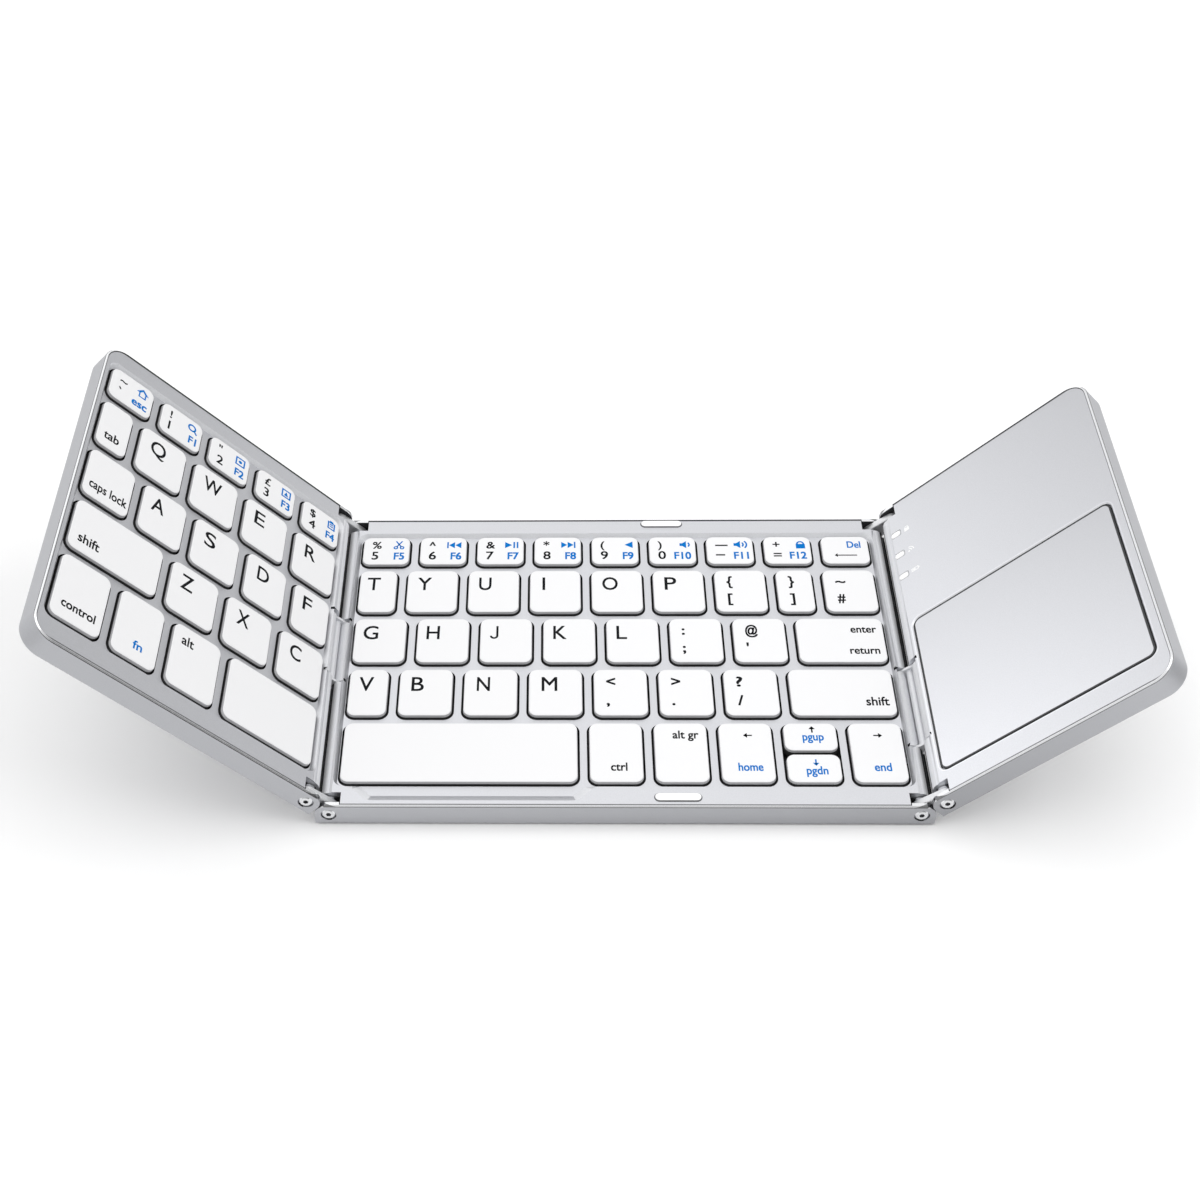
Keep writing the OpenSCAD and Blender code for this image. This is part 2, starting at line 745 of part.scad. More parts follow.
module foot_bosses(places) {
    for (p = places) translate([p[0], p[1], eps]) cylinder(h = plate_z - eps, d = boss_d);
}

// Floor ribs along the middle of each key row
module plate_ribs(from, to) {
    for (r = [0:4]) translate([from, row_rears[r] - row_depths[r] / 2 - rib_t / 2, floor_t - eps])
        cube([to - from, rib_t, plate_rise + eps]);
}

// Case of a side panel; children stand on its floor
module side_case(w, places, cover_at, cover_length) {
    difference() {
        union() {
            difference() {
                case_shell(w, false);
                cover_cuts(cover_at, cover_length);
            }
            cover_knuckle(cover_at, cover_length);
            foot_bosses(places);
            children();
        }
        hinge_cuts();
        foot_cuts(places);
    }
}

module middle_case() {
    color(case_colour) in_middle() difference() {
        union() {
            from_left_end() {
                difference() {
                    case_shell(middle_w, true);
                    cover_cuts(left_cover_y, left_cover_l);
                    far_end(middle_w) cover_cuts(right_cover_y, right_cover_l);
                }
                cover_knuckle(left_cover_y, left_cover_l);
                far_end(middle_w) cover_knuckle(right_cover_y, right_cover_l);
            }
            plate_ribs(-middle_field / 2, middle_field / 2);
            foot_bosses(middle_feet_at);
        }
        from_left_end() each_hinge_end(middle_w, true) hinge_cuts();
        foot_cuts(middle_feet_at);
    }
}

module left_case() {
    color(case_colour) on_left()
        side_case(left_w, side_feet_at(left_w), left_cover_y, left_cover_l)
        plate_ribs(left_hinge_margin, left_w - left_outer_margin);
}

module right_case() {
    color(case_colour) on_right() difference() {
        side_case(right_w, side_feet_at(right_w), right_cover_y, right_cover_l) {
            board_rests();
            battery_frame();
        }
        translate([port_x, depth / 2, port_z]) rotate([90, 0, 0])
            linear_extrude(4 * wall_t, center = true)
            pill(port_w + 2 * port_play, port_h + 2 * port_play);
    }
}

// Low pads on the floor that carry the main board
module board_rests() {
    for (x = [block_l + board_rest_d, right_w - corner_r - board_rest_d],
            y = [board_front + board_rest_d, block_y - board_rest_d])
        translate([x, y, floor_t - eps]) cylinder(h = board_rise + eps, d = board_rest_d);
}

// Low frame on the floor round the battery
module battery_frame() {
    room = 2 * battery_play;
    frame = room + 2 * battery_frame_t;
    translate([pad_x, pad_y, floor_t - eps]) linear_extrude(battery_frame_h) difference() {
        rounded_rect(battery_w + frame, battery_d + frame, battery_play + battery_frame_t);
        rounded_rect(battery_w + room, battery_d + room, battery_play);
    }
}

// ---------- decks ----------

// Deck without openings, with its rolled hinge end at x = 0
module deck_blank(w, twin) {
    intersection() {
        union() {
            translate([0, 0, deck_z]) linear_extrude(deck_t) difference() {
                deck_plan(w, twin, lip_t + deck_gap, 0);
                each_hinge_end(w, twin) notch_plan(deck_gap);
            }
            each_hinge_end(w, twin) across(-notch_y + deck_gap, notch_y - deck_gap)
                translate([0, pivot_z]) square([roll_lip, deck_z - pivot_z + eps]);
        }
        across(-depth / 2, depth / 2) shared_section(w, twin) roll_section(w);
    }
}

// Screw posts under a deck
module deck_posts(places) {
    for (p = places) translate([p[0], p[1], plate_z]) difference() {
        cylinder(h = deck_z - plate_z + eps, d = boss_d);
        translate([0, 0, -eps]) cylinder(h = deck_z - plate_z, d = case_screw_d);
    }
}

// Outline of a key well, drawn in by an inset
function well_outline(x0, x1, y0, y1, inset) =
    let (a = x0 + inset, b = x1 - inset, c = y0 + inset, d = y1 - inset, r = well_r - inset)
    concat(
        bend([b, c], 0, 90, r), bend([b, d], 90, 180, r), bend([a, d], 180, 270, r),
        bend([a, c], 270, 360, r));

// Cut of a key well, with a level floor and sloping sides
module well_cut(x0, x1, y0, y1) {
    inner = well_outline(x0, x1, y0, y1, well_slope);
    outer = well_outline(x0, x1, y0, y1, 0);
    n = len(inner);
    polyhedron(
        concat([for (p = inner) [p[0], p[1], well_z]],
            [for (p = outer) [p[0], p[1], deck_top]],
            [for (p = outer) [p[0], p[1], panel_t + 1]]),
        concat([[for (i = [0:n - 1]) i]], [[for (i = [n - 1:-1:0]) 2 * n + i]],
            [for (k = [0, n], i = [0:n - 1])
                [k + i, k + n + i, k + n + (i + 1) % n, k + (i + 1) % n]]),
        convexity = 4);
}

// Left side of the thumb scoop, from inside the well to the front
function scoop_side(x0, y0, inset) =
    let (x = x0 + inset * tan(22.5), y = y0 + inset)
    concat([[x0 - scoop_r * tan(22.5), y0 + scoop_slope + well_margin]],
        bend([x, y], 0, -45, scoop_r + inset, 3),
        bend([x + scoop_d, y - scoop_d], -45, 0, scoop_r - inset, 3));

// Cut of the thumb scoop in front of the well, with a gentler slope
module scoop_cut(x0, x1, y0) {
    inner = scoop_side(x0, y0, scoop_slope);
    outer = scoop_side(x0, y0, 0);
    k = len(inner);
    levels = [[inner, well_z], [outer, deck_top], [outer, panel_t + 1]];
    points = [for (v = levels, side = [0, 1], p = v[0])
        [side == 0 ? p[0] : x0 + x1 - p[0], p[1], v[1]]];
    floor_faces = [for (i = [0:k - 2]) [i, i + 1, k + i + 1, k + i]];
    top_faces = [for (i = [0:k - 2]) [4 * k + i, 5 * k + i, 5 * k + i + 1, 4 * k + i + 1]];
    walls = [for (a = [0, 2 * k]) for (i = [0:k - 2]) for (side = [0, 1])
        side == 0 ? [a + i, a + 2 * k + i, a + 2 * k + i + 1, a + i + 1]
        : [a + k + i + 1, a + 3 * k + i + 1, a + 3 * k + i, a + k + i]];
    ends = [for (a = [0, 2 * k]) for (side = [0, 1])
        side == 0 ? [a + k - 1, a + 3 * k - 1, a + 4 * k - 1, a + 2 * k - 1]
        : [a + k, a + 3 * k, a + 2 * k, a]];
    polyhedron(points, concat(floor_faces, top_faces, walls, ends), convexity = 4);
}

module window_cuts(windows) {
    for (k = windows) translate([k[0], k[1], 0]) linear_extrude(2 * panel_t)
        rounded_rect(k[2], k[3], window_r);
}

// Places of the spacer pads
module spacer_places() {
    for (y = [depth / 2 - spacer_rear, spacer_front - depth / 2])
        translate([spacer_x, y, deck_top - spacer_seat]) children();
}

module middle_deck() {
    x = middle_field / 2 + well_margin;
    y0 = keys_front - well_margin;
    y1 = keys_rear + well_margin;
    color(deck_colour) in_middle() {
        difference() {
            from_left_end() deck_blank(middle_w, true);
            well_cut(-x, x, y0, y1);
            scoop_cut(scoop_inset - middle_field / 2,
                middle_rows[4][0] - middle_field / 2 + scoop_reach, y0);
            window_cuts(middle_windows);
            from_left_end() {
                cover_cuts(left_cover_y, left_cover_l);
                far_end(middle_w) cover_cuts(right_cover_y, right_cover_l);
            }
            spacer_places() linear_extrude(panel_t) pill(spacer_l, spacer_w);
        }
        deck_posts(middle_feet_at);
    }
}

module left_deck() {
    x0 = left_hinge_margin - well_margin;
    x1 = left_w - left_outer_margin + left_well_margin;
    y0 = keys_front - well_margin;
    y1 = keys_rear + well_margin;
    color(deck_colour) on_left() {
        difference() {
            deck_blank(left_w, false);
            well_cut(x0, x1, y0, y1);
            window_cuts(left_windows);
            cover_cuts(left_cover_y, left_cover_l);
        }
        deck_posts(side_feet_at(left_w));
    }
}

module right_deck() {
    color(deck_colour) on_right() {
        difference() {
            deck_blank(right_w, false);
            translate([pad_x, pad_y, seat_z]) walled_block(pad_w, pad_d, pad_r,
                [[0, 0], [0, deck_top - seat_z - pad_chamfer],
                 [-pad_chamfer, deck_top - seat_z], [-pad_chamfer, panel_t]]);
            translate([pad_x, pad_y, 0]) linear_extrude(panel_t)
                rounded_rect(pad_w - 2 * pad_ledge, pad_d - 2 * pad_ledge, pad_r);
            for (y = light_ys) translate([light_x, y, 0]) linear_extrude(2 * panel_t)
                pill(light_l, light_w);
            cover_cuts(right_cover_y, right_cover_l);
        }
        deck_posts(side_feet_at(right_w));
    }
}

// ---------- feet, pads and screws ----------

module feet(places) {
    for (p = places) translate([p[0], p[1], -foot_rise])
        walled_disc(foot_d / 2, foot_rise + foot_pocket, foot_chamfer);
}

// Short cylinder with a chamfered lower edge
module walled_disc(r, h, chamfer) {
    cylinder(h = chamfer + eps, r1 = r - chamfer, r2 = r);
    translate([0, 0, chamfer]) cylinder(h = h - chamfer, r = r);
}

// Case screws, from their seats up into the deck posts
module case_screws(places) {
    seat = plate_z - screw_seat_t;
    for (p = places) translate([p[0], p[1], 0]) difference() {
        union() {
            translate([0, 0, seat - case_head_h]) cylinder(h = case_head_h, d = case_head_d);
            translate([0, 0, seat - eps])
                cylinder(h = deck_z - screw_tip - seat, d = case_screw_d);
        }
        translate([0, 0, seat - case_head_h - eps])
            cylinder(h = socket_d + eps, d = socket_af / cos(30), $fn = 6);
    }
}

module spacer_pads() {
    color("#fafafa") in_middle() spacer_places()
        linear_extrude(panel_t + spacer_rise - deck_top + spacer_seat)
        pill(spacer_l, spacer_w);
}

module hinge_screws() {
    tip = block_y + link_play;
    seat = depth / 2 - head_recess;
    front_and_rear() translate([pivot_end, 0, pivot_z]) rotate([-90, 0, 0]) difference() {
        union() {
            translate([0, 0, tip]) cylinder(h = seat - tip + eps, d = screw_d);
            translate([0, 0, seat]) cylinder(h = head_h - head_chamfer + eps, d = head_d);
            translate([0, 0, seat + head_h - head_chamfer])
                cylinder(h = head_chamfer, d1 = head_d, d2 = head_d - 2 * head_slope);
        }
        translate([0, 0, seat + head_h - socket_d])
            cylinder(h = socket_d + eps, d = socket_af / cos(30), $fn = 6);
    }
}

module hinge_washers() {
    front_and_rear() translate([pivot_end, 0, pivot_z]) rotate([-90, 0, 0])
        translate([0, 0, notch_y]) difference() {
        cylinder(h = washer_t, d = washer_d);
        translate([0, 0, -eps]) cylinder(h = washer_t + 2 * eps, d = screw_d);
    }
}

module middle_feet() {
    color(rubber_colour) in_middle() feet(middle_feet_at);
}

module left_feet() {
    color(rubber_colour) on_left() feet(side_feet_at(left_w));
}

module right_feet() {
    color(rubber_colour) on_right() feet(side_feet_at(right_w));
}

module middle_case_screws() {
    color(steel_colour) in_middle() case_screws(middle_feet_at);
}

module left_case_screws() {
    color(steel_colour) on_left() case_screws(side_feet_at(left_w));
}

module right_case_screws() {
    color(steel_colour) on_right() case_screws(side_feet_at(right_w));
}

module middle_hinge_screws() {
    color(steel_colour) in_middle() from_left_end()
        each_hinge_end(middle_w, true) hinge_screws();
}

module left_hinge_screws() {
    color(steel_colour) on_left() hinge_screws();
}

module right_hinge_screws() {
    color(steel_colour) on_right() hinge_screws();
}

module middle_hinge_washers() {
    color(steel_colour) in_middle() from_left_end()
        each_hinge_end(middle_w, true) hinge_washers();
}

module left_hinge_washers() {
    color(steel_colour) on_left() hinge_washers();
}

module right_hinge_washers() {
    color(steel_colour) on_right() hinge_washers();
}

// ---------- links and cable covers ----------

// Flat bar between two pivots, drawn in by an inset
module link_plan(inset) {
    r = link_r - inset;
    translate([0, -r]) square([link_pitch, 2 * r]);
    for (x = [0, link_pitch]) translate([x, 0]) circle(r);
}

module link_bar() {
    difference() {
        union() {
            translate([0, 0, link_chamfer]) linear_extrude(link_t - 2 * link_chamfer)
                link_plan(0);
            linear_extrude(link_t) link_plan(link_chamfer);
            for (z = [0, link_t - link_chamfer]) translate([0, 0, z])
                for (x = [0, link_pitch]) translate([x, 0, 0])
                cylinder(h = link_chamfer, r1 = z > 0 ? link_r : link_r - link_chamfer,
                    r2 = z > 0 ? link_r - link_chamfer : link_r);
            rotate([90, 0, 90]) linear_extrude(link_pitch) polygon([
                [-link_r, link_chamfer], [link_chamfer - link_r, 0],
                [link_r - link_chamfer, 0], [link_r, link_chamfer],
                [link_r, link_t - link_chamfer], [link_r - link_chamfer, link_t],
                [link_chamfer - link_r, link_t], [-link_r, link_t - link_chamfer]]);
        }
        for (x = [0, link_pitch]) translate([x, 0, -eps])
            cylinder(h = link_t + 2 * eps, d = screw_d + 2 * pivot_play);
    }
}

// Front and rear link of one hinge
module link_pair() {
    front_and_rear() translate([0, depth / 2 - wall_t - link_play, 0])
        rotate([90, 0, 0]) link_bar();
}

// Channel over the flat cable, with an arm and two pins at each end
module cable_cover(at, length) {
    half = length / 2;
    mid = link_pitch / 2;
    w = cover_w / 2;
    translate([0, at, 0]) {
        across(-half, half) difference() {
            intersection() {
                union() {
                    translate([mid, cover_rise - w]) circle(w);
                    translate([mid - w, -cover_drop])
                        square([2 * w, cover_drop + cover_rise - w]);
                }
                translate([mid - w, -cover_drop]) square([2 * w, 2 * cover_drop]);
            }
            translate([mid - w + cover_wall, -cover_drop - eps])
                square([2 * (w - cover_wall), cover_drop + eps + cover_ceiling]);
        }
        for (side = [-1, 1]) translate([0, side * half, 0]) rotate([side * 90, 0, 0]) {
            linear_extrude(cover_arm_t) {
                translate([0, -cover_arm_r]) square([link_pitch, 2 * cover_arm_r]);
                for (x = [0, link_pitch]) translate([x, 0]) circle(cover_arm_r);
            }
            for (x = [0, link_pitch]) translate([x, 0, cover_arm_t - eps])
                cylinder(h = cover_pin_l + eps, d = cover_pin_d);
        }
    }
}

// Flat cable inside its cover
module hinge_cable(at) {
    translate([link_pitch / 2 - cable_t / 2, at - cable_w / 2, cover_gap - cover_drop])
        cube([cable_t, cable_w, cover_ceiling + cover_drop - cover_gap]);
}

module left_links() {
    color(steel_colour) on_left_link() link_pair();
}

module right_links() {
    color(steel_colour) on_right_link() link_pair();
}

module left_cable_cover() {
    color(case_colour) on_left_link() cable_cover(left_cover_y, left_cover_l);
}

module right_cable_cover() {
    color(case_colour) on_right_link() cable_cover(right_cover_y, right_cover_l);
}

module left_hinge_cable() {
    color(cable_colour) on_left_link() hinge_cable(left_cover_y);
}

module right_hinge_cable() {
    color(cable_colour) on_right_link() hinge_cable(right_cover_y);
}

// ---------- layers under the keys ----------

// Steel plate that lies on the floor ribs
module key_plate(from, to) {
    half = block_y - plate_play;
    translate([from, -half, plate_z]) cube([to - from, 2 * half, plate_t]);
}

// Switch film on the plate with one dome under each key
module dome_sheet(from, to, keys) {
    half = block_y - plate_play;
    translate([from + film_inset, -half, film_z])
        cube([to - from - 2 * film_inset, 2 * half, film_t]);
    for (k = keys) translate([k[0], k[1], dome_z - eps])
        cylinder(h = dome_h + eps, d1 = dome_d, d2 = dome_top_d);
}

module middle_plate() {
    x = middle_field / 2;
    color(steel_colour) in_middle() key_plate(-x, x);
}

module left_plate() {
    color(steel_colour) on_left() key_plate(left_hinge_margin, left_w - left_outer_margin);
}

module middle_dome_sheet() {
    x = middle_field / 2;
    color(film_colour) in_middle() dome_sheet(-x, x, middle_keys);
}

module left_dome_sheet() {
    color(film_colour) on_left()
        dome_sheet(left_hinge_margin, left_w - left_outer_margin, left_windows);
}

// ---------- right panel ----------

module touchpad() {
    color("#d9dbe0") on_right() translate([pad_x, pad_y, seat_z])
        walled_block(pad_w - 2 * pad_gap, pad_d - 2 * pad_gap, pad_r - pad_gap,
            [[0, 0], [0, pad_t - pad_edge], [pad_edge, pad_t]]);
}

module touch_board() {
    inset = pad_ledge + touch_board_inset;
    color(board_colour) on_right() translate([pad_x, pad_y, seat_z - board_t])
        linear_extrude(board_t)
        rounded_rect(pad_w - 2 * inset, pad_d - 2 * inset, pad_r - pad_ledge);
}

module main_board() {
    x0 = block_l + board_play;
    x1 = right_w - wall_t - board_play;
    y1 = depth / 2 - wall_t - board_play;
    y0 = light_ys[2] - strip_reach;
    color(board_colour) on_right() translate([0, 0, board_z]) linear_extrude(board_t)
        difference() {
        union() {
            translate([x0, board_front]) square([x1 - x0, y1 - board_front]);
            translate([strip_end, y0])
                square([x0 + eps - strip_end, light_ys[0] + strip_reach - y0]);
        }
        for (p = side_feet_at(right_w)) translate(p) circle(d = boss_d + 2 * board_play);
        translate([x1 - corner_r + wall_t, y1 - corner_r + wall_t]) difference() {
            square(corner_r);
            circle(corner_r - wall_t);
        }
    }
}

module battery() {
    color("#8f949b") on_right() translate([pad_x, pad_y, floor_t])
        linear_extrude(battery_t) rounded_rect(battery_w, battery_d, 1.5);
}

// Light pipes from the board to the deck surface
module indicator_lights() {
    foot_z = board_z + board_t;
    color("#e9f3ff") on_right() for (y = light_ys) {
        translate([strip_end + light_pipe_d / 2, y, foot_z])
            cylinder(h = deck_z - foot_z + eps, d = light_pipe_d);
        translate([light_x, y, deck_z]) linear_extrude(deck_t)
            pill(light_l - 2 * light_play, light_w - 2 * light_play);
    }
}

module charging_port() {
    y = depth / 2 - port_recess;
    color(steel_colour) on_right() translate([port_x, y, port_z]) rotate([90, 0, 0]) {
        linear_extrude(port_l) difference() {
            pill(port_w, port_h);
            pill(port_w - 2 * port_wall, port_h - 2 * port_wall);
        }
        translate([0, 0, port_l - port_wall]) linear_extrude(port_wall)
            pill(port_w - port_wall, port_h - port_wall);
        translate([-tongue_w / 2, -tongue_t / 2, tongue_t])
            cube([tongue_w, tongue_t, port_l - tongue_t - eps]);
    }
}

// ---------- key caps ----------

// Hollow cap for a window, with a rounded upper edge and leaning walls
module key_cap(k) {
    w = k[2] - 2 * cap_gap;
    d = k[3] - 2 * cap_gap;
    r = window_r - cap_gap;
    wall = concat([[0, 0], [cap_lean, cap_h - cap_edge_r]],
        [for (a = [30:30:90]) [cap_lean + cap_edge_r * (1 - cos(a)), cap_h + cap_edge_r * (sin(a) - 1)]]);
    translate([k[0], k[1], cap_z]) difference() {
        walled_block(w, d, r, wall);
        translate([0, 0, -eps]) walled_block(w - 2 * cap_wall, d - 2 * cap_wall, r - cap_wall,
            [[0, 0], [cap_lean, cap_h - cap_top_t]]);
    }
}

module middle_caps(row, from, to) {
    color(cap_colour) in_middle() for (i = [from:to]) key_cap(middle_window(row, i));
}

module left_caps(row, from, to) {
    color(cap_colour) on_left() for (i = [from:to]) key_cap(left_window(row, i));
}

module escape_key() {
    left_caps(0, 0, 0);
}

module left_number_keys() {
    left_caps(0, 1, 4);
}

module tab_key() {
    left_caps(1, 0, 0);
}

module left_top_letter_keys() {
    left_caps(1, 1, 4);
}

module caps_lock_key() {
    left_caps(2, 0, 0);
}

module left_home_letter_keys() {
    left_caps(2, 1, 4);
}

module left_shift_key() {
    left_caps(3, 0, 0);
}

module left_bottom_letter_keys() {
    left_caps(3, 1, 3);
}

module control_key() {
    left_caps(4, 0, 0);
}

module function_key() {
    left_caps(4, 1, 1);
}

module left_alt_key() {
    left_caps(4, 2, 2);
}

module left_space_key() {
    left_caps(4, 3, 3);
}

module middle_number_keys() {
    middle_caps(0, 0, 7);
}

module backspace_key() {
    middle_caps(0, 8, 8);
}

module middle_top_letter_keys() {
    middle_caps(1, 0, 8);
}

module middle_home_letter_keys() {
    middle_caps(2, 0, 6);
}

module enter_key() {
    middle_caps(2, 7, 7);
}

module middle_bottom_letter_keys() {
    middle_caps(3, 0, 6);
}

module right_shift_key() {
    middle_caps(3, 7, 7);
}

module right_space_key() {
    middle_caps(4, 0, 0);
}

module right_modifier_keys() {
    middle_caps(4, 1, 2);
}

module left_arrow_key() {
    middle_caps(4, 3, 3);
}

module up_arrow_key() {
    color(cap_colour) in_middle() arrow_cap(1);
}

module down_arrow_key() {
    color(cap_colour) in_middle() arrow_cap(-1);
}

module right_arrow_key() {
    middle_caps(4, 5, 5);
}

// Arrow cap in its half of the shared window
module arrow_cap(side) {
    key_cap(arrow_window(side));
}

middle_case();
middle_deck();
middle_plate();
middle_dome_sheet();
middle_feet();
spacer_pads();
middle_hinge_screws();
middle_hinge_washers();
middle_case_screws();
left_case();
left_deck();
left_plate();
left_dome_sheet();
left_feet();
left_hinge_screws();
left_hinge_washers();
left_case_screws();
right_case();
right_deck();
touchpad();
touch_board();
main_board();
battery();
indicator_lights();
charging_port();
right_feet();
right_hinge_screws();
right_hinge_washers();
right_case_screws();
left_links();
left_cable_cover();
left_hinge_cable();
right_links();
right_cable_cover();
right_hinge_cable();
escape_key();
left_number_keys();
tab_key();
left_top_letter_keys();
caps_lock_key();
left_home_letter_keys();
left_shift_key();
left_bottom_letter_keys();
control_key();
function_key();
left_alt_key();
left_space_key();
middle_number_keys();
backspace_key();
middle_top_letter_keys();
middle_home_letter_keys();
enter_key();
middle_bottom_letter_keys();
right_shift_key();
right_space_key();
right_modifier_keys();
left_arrow_key();
up_arrow_key();
down_arrow_key();
right_arrow_key();
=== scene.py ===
"""Finishes, key prints and stage of a folding keyboard with a touchpad."""

import json
import math

import bmesh
import bpy
from bpy.props import FloatProperty, FloatVectorProperty, PointerProperty
from bpy.types import Operator, Panel, PropertyGroup
from mathutils import Matrix, Vector


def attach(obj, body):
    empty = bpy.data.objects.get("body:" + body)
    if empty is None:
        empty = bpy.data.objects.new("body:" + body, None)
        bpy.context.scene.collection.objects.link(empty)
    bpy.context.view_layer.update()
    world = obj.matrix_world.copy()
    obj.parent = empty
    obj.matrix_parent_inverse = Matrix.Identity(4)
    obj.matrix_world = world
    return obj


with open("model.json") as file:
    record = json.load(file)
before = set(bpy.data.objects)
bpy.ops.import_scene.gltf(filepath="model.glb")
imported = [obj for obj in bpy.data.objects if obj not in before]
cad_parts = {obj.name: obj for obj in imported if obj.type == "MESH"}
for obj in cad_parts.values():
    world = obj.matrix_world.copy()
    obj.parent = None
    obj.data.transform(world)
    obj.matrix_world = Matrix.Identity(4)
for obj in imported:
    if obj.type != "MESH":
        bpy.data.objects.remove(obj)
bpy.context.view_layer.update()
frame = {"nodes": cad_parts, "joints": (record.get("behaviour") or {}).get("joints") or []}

bl_info = {
    "name": "Folding Keyboard",
    "version": (1, 0, 0),
    "blender": (4, 5, 0),
    "location": "3D View > Sidebar > Keyboard",
    "description": "Finishes, key prints and stage of a folding keyboard with a touchpad",
    "category": "Object",
}

MM = 0.001
RENDER_SIDE = 1200  # pixels along each side of the square render that the lens values are for
SENSOR = 36.0  # mm


def linear(code):
    """An sRGB hex colour as linear red, green and blue."""
    parts = [int(code[i : i + 2], 16) / 255 for i in (1, 3, 5)]
    return tuple(c / 12.92 if c <= 0.04045 else ((c + 0.055) / 1.055) ** 2.4 for c in parts)


def colour(name, description, code):
    """A colour that a user may change."""
    return FloatVectorProperty(
        name=name, description=description, subtype="COLOR", min=0, max=1, default=linear(code)
    )


def length(name, description, mm):
    """A size that a user may change, given in millimetres and kept in metres."""
    return FloatProperty(
        name=name, description=description, subtype="DISTANCE", unit="LENGTH", min=0,
        default=mm * MM, precision=5,
    )


def angle(name, description, degrees):
    """An angle that a user may change, given in degrees and kept in radians."""
    return FloatProperty(
        name=name, description=description, subtype="ANGLE", default=math.radians(degrees)
    )


def amount(name, description, value):
    """A plain number that a user may change."""
    return FloatProperty(name=name, description=description, default=value)


def shares(name, ends, *values):
    """Two shares of a finish's colour, at two ends of a piece, that a user may change."""
    description = "Shares of the colour at the " + ends
    return FloatVectorProperty(name=name, description=description, size=2, default=values)


# Sizes and colours that a user would change


class FinishSettings(PropertyGroup):
    case: colour("Case", "Blasted and anodised aluminium of the three shells", "#BEBFC3")
    deck: colour("Deck", "Anodised aluminium sheet round the keys and the touchpad", "#DADBDF")
    # The cover colour is the cable covers' own satin, and also a lighter copy of the deck's
    # aluminium on rolled edges, hinge ends, pockets and key well slopes: painted highlight there.
    cover: colour("Cover", "Satin aluminium of cable covers and slopes round the keys", "#E6E7EA")
    cut_edge: colour("Cut edge", "Bright chamfer that a diamond tool cuts round a shell", "#F2F3F5")
    cap: colour("Key caps", "Moulded ABS of the key caps", "#ECECED")
    # Painted shade: the key cap walls take a greyer colour than the tops.
    cap_wall: colour("Key walls", "Walls of the key caps below their painted tops", "#B4B4B6")
    steel: colour("Hinge steel", "Polished stainless steel of the links and screws", "#E4E5E7")
    touch: colour("Touchpad", "Metallic film on the touchpad", "#DCDDE1")
    rubber: colour("Feet", "Silicone rubber of the feet", "#8F9094")
    glossy: colour("Spacer pads", "Glossy polycarbonate of the two spacer pads", "#FAFAFA")
    # Painted shading: these shares make each shell, side deck and the touchpad lighter or darker
    # from end to end and from front to rear.
    left_case: shares("Left case", "left and right end of the left shell", 0.9, 0.94)
    middle_case: shares("Middle case", "left and right end of the middle shell", 0.96, 0.8)
    right_case: shares("Right case", "left and right end of the right shell", 0.72, 0.92)
    left_depth_shading: shares("Left depth shading", "front and rear of the left deck", 0.8, 0.84)
    left_width_shading: shares("Left width shading", "left and right end of the left deck", 1.04, 1.19)
    right_depth_shading: shares("Right depth shading", "front and rear of the right deck", 1.13, 0.9)
    right_width_shading: shares("Right width shading", "left and right end of the right deck", 1.12, 0.86)


class PrintSettings(PropertyGroup):
    ink: colour("Ink", "Dark ink of letters and words", "#17181B")
    function_ink: colour("Second ink", "Blue ink of what a key does with fn", "#0074C6")
    letter: length("Letters", "Height of a capital on a letter key", 5.25)
    digit: length("Digits", "Height of a digit", 3.3)
    function: length("Function numbers", "Height of F1 to F12", 2.9)
    word: length("Words", "Height of a capital in words such as enter", 2.75)
    large_word: length("Large words", "Height of a capital in words such as shift", 3.1)
    mark: length("Marks", "Height of the second mark on a number key", 2.9)
    large_mark: length("Large marks", "Height of each mark on a key that has two", 3.6)
    sign: length("Signs", "Height of a small drawn sign", 3.6)
    arrow: length("Arrows", "Height of the box that an arrow is drawn in", 2.1)
    light_sign: length("Light signs", "Height of the signs beside the lights", 2.2)
    light_sign_gap: length("Light sign gap", "Distance from a light to its sign", 1.2)
    thickness: length("Ink thickness", "Thickness of a print, a quarter of it sunk in", 0.02)
    margin: length("Margin", "Least distance from a word to the side of its key", 0.9)
    weight: length("Weight", "How far letter strokes are widened on each side", 0.055)
    word_weight: length("Word weight", "How far word strokes are widened on each side", 0.07)
    mark_weight: length(
        "Mark weight", "How far strokes of marks and F numbers are widened on each side", 0.105
    )
    narrowing: amount("Narrowing", "Width of words as a share of the font's own", 0.84)


class StageSettings(PropertyGroup):
    camera: FloatVectorProperty(
        name="Camera", description="Place of the lens", subtype="TRANSLATION", unit="LENGTH",
        default=(-13.332 * MM, -348.848 * MM, 367.74 * MM), precision=5,
    )
    down: angle("Down", "How far the camera looks down", 47.983)
    turn: angle("Turn", "How far the camera is turned clockwise, seen from above", -2.43)
    roll: angle("Roll", "Roll of the camera", -1.781)
    focal_pixels: amount("Focal length", "Focal length in pixels of the square render", 1748.946)
    centre_right: amount(
        "Centre right", "Pixels from the middle of the render to the lens axis, rightwards", -99.532
    )
    centre_down: amount(
        "Centre down", "Pixels from the middle of the render to the lens axis, downwards", 116.188
    )
    floor: colour("Floor", "Plain pale floor", "#FBFBFB")
    room: amount("Room light", "Mean brightness of the room round the stage", 0.64)
    backdrop: amount("Backdrop", "Brightness of the plain wall behind the floor", 0.82)
    room_tilt: FloatVectorProperty(
        name="Room tilt", default=(-0.374, 0.24, 0.34),
        description="How much brighter the room gets to the right, to the rear and upwards",
    )
    top_lamp: amount("Top lamp", "Power of the soft box overhead in watts", 5.0)
    side_lamp: amount("Side lamp", "Power of the soft box at the upper right in watts", 10.5)


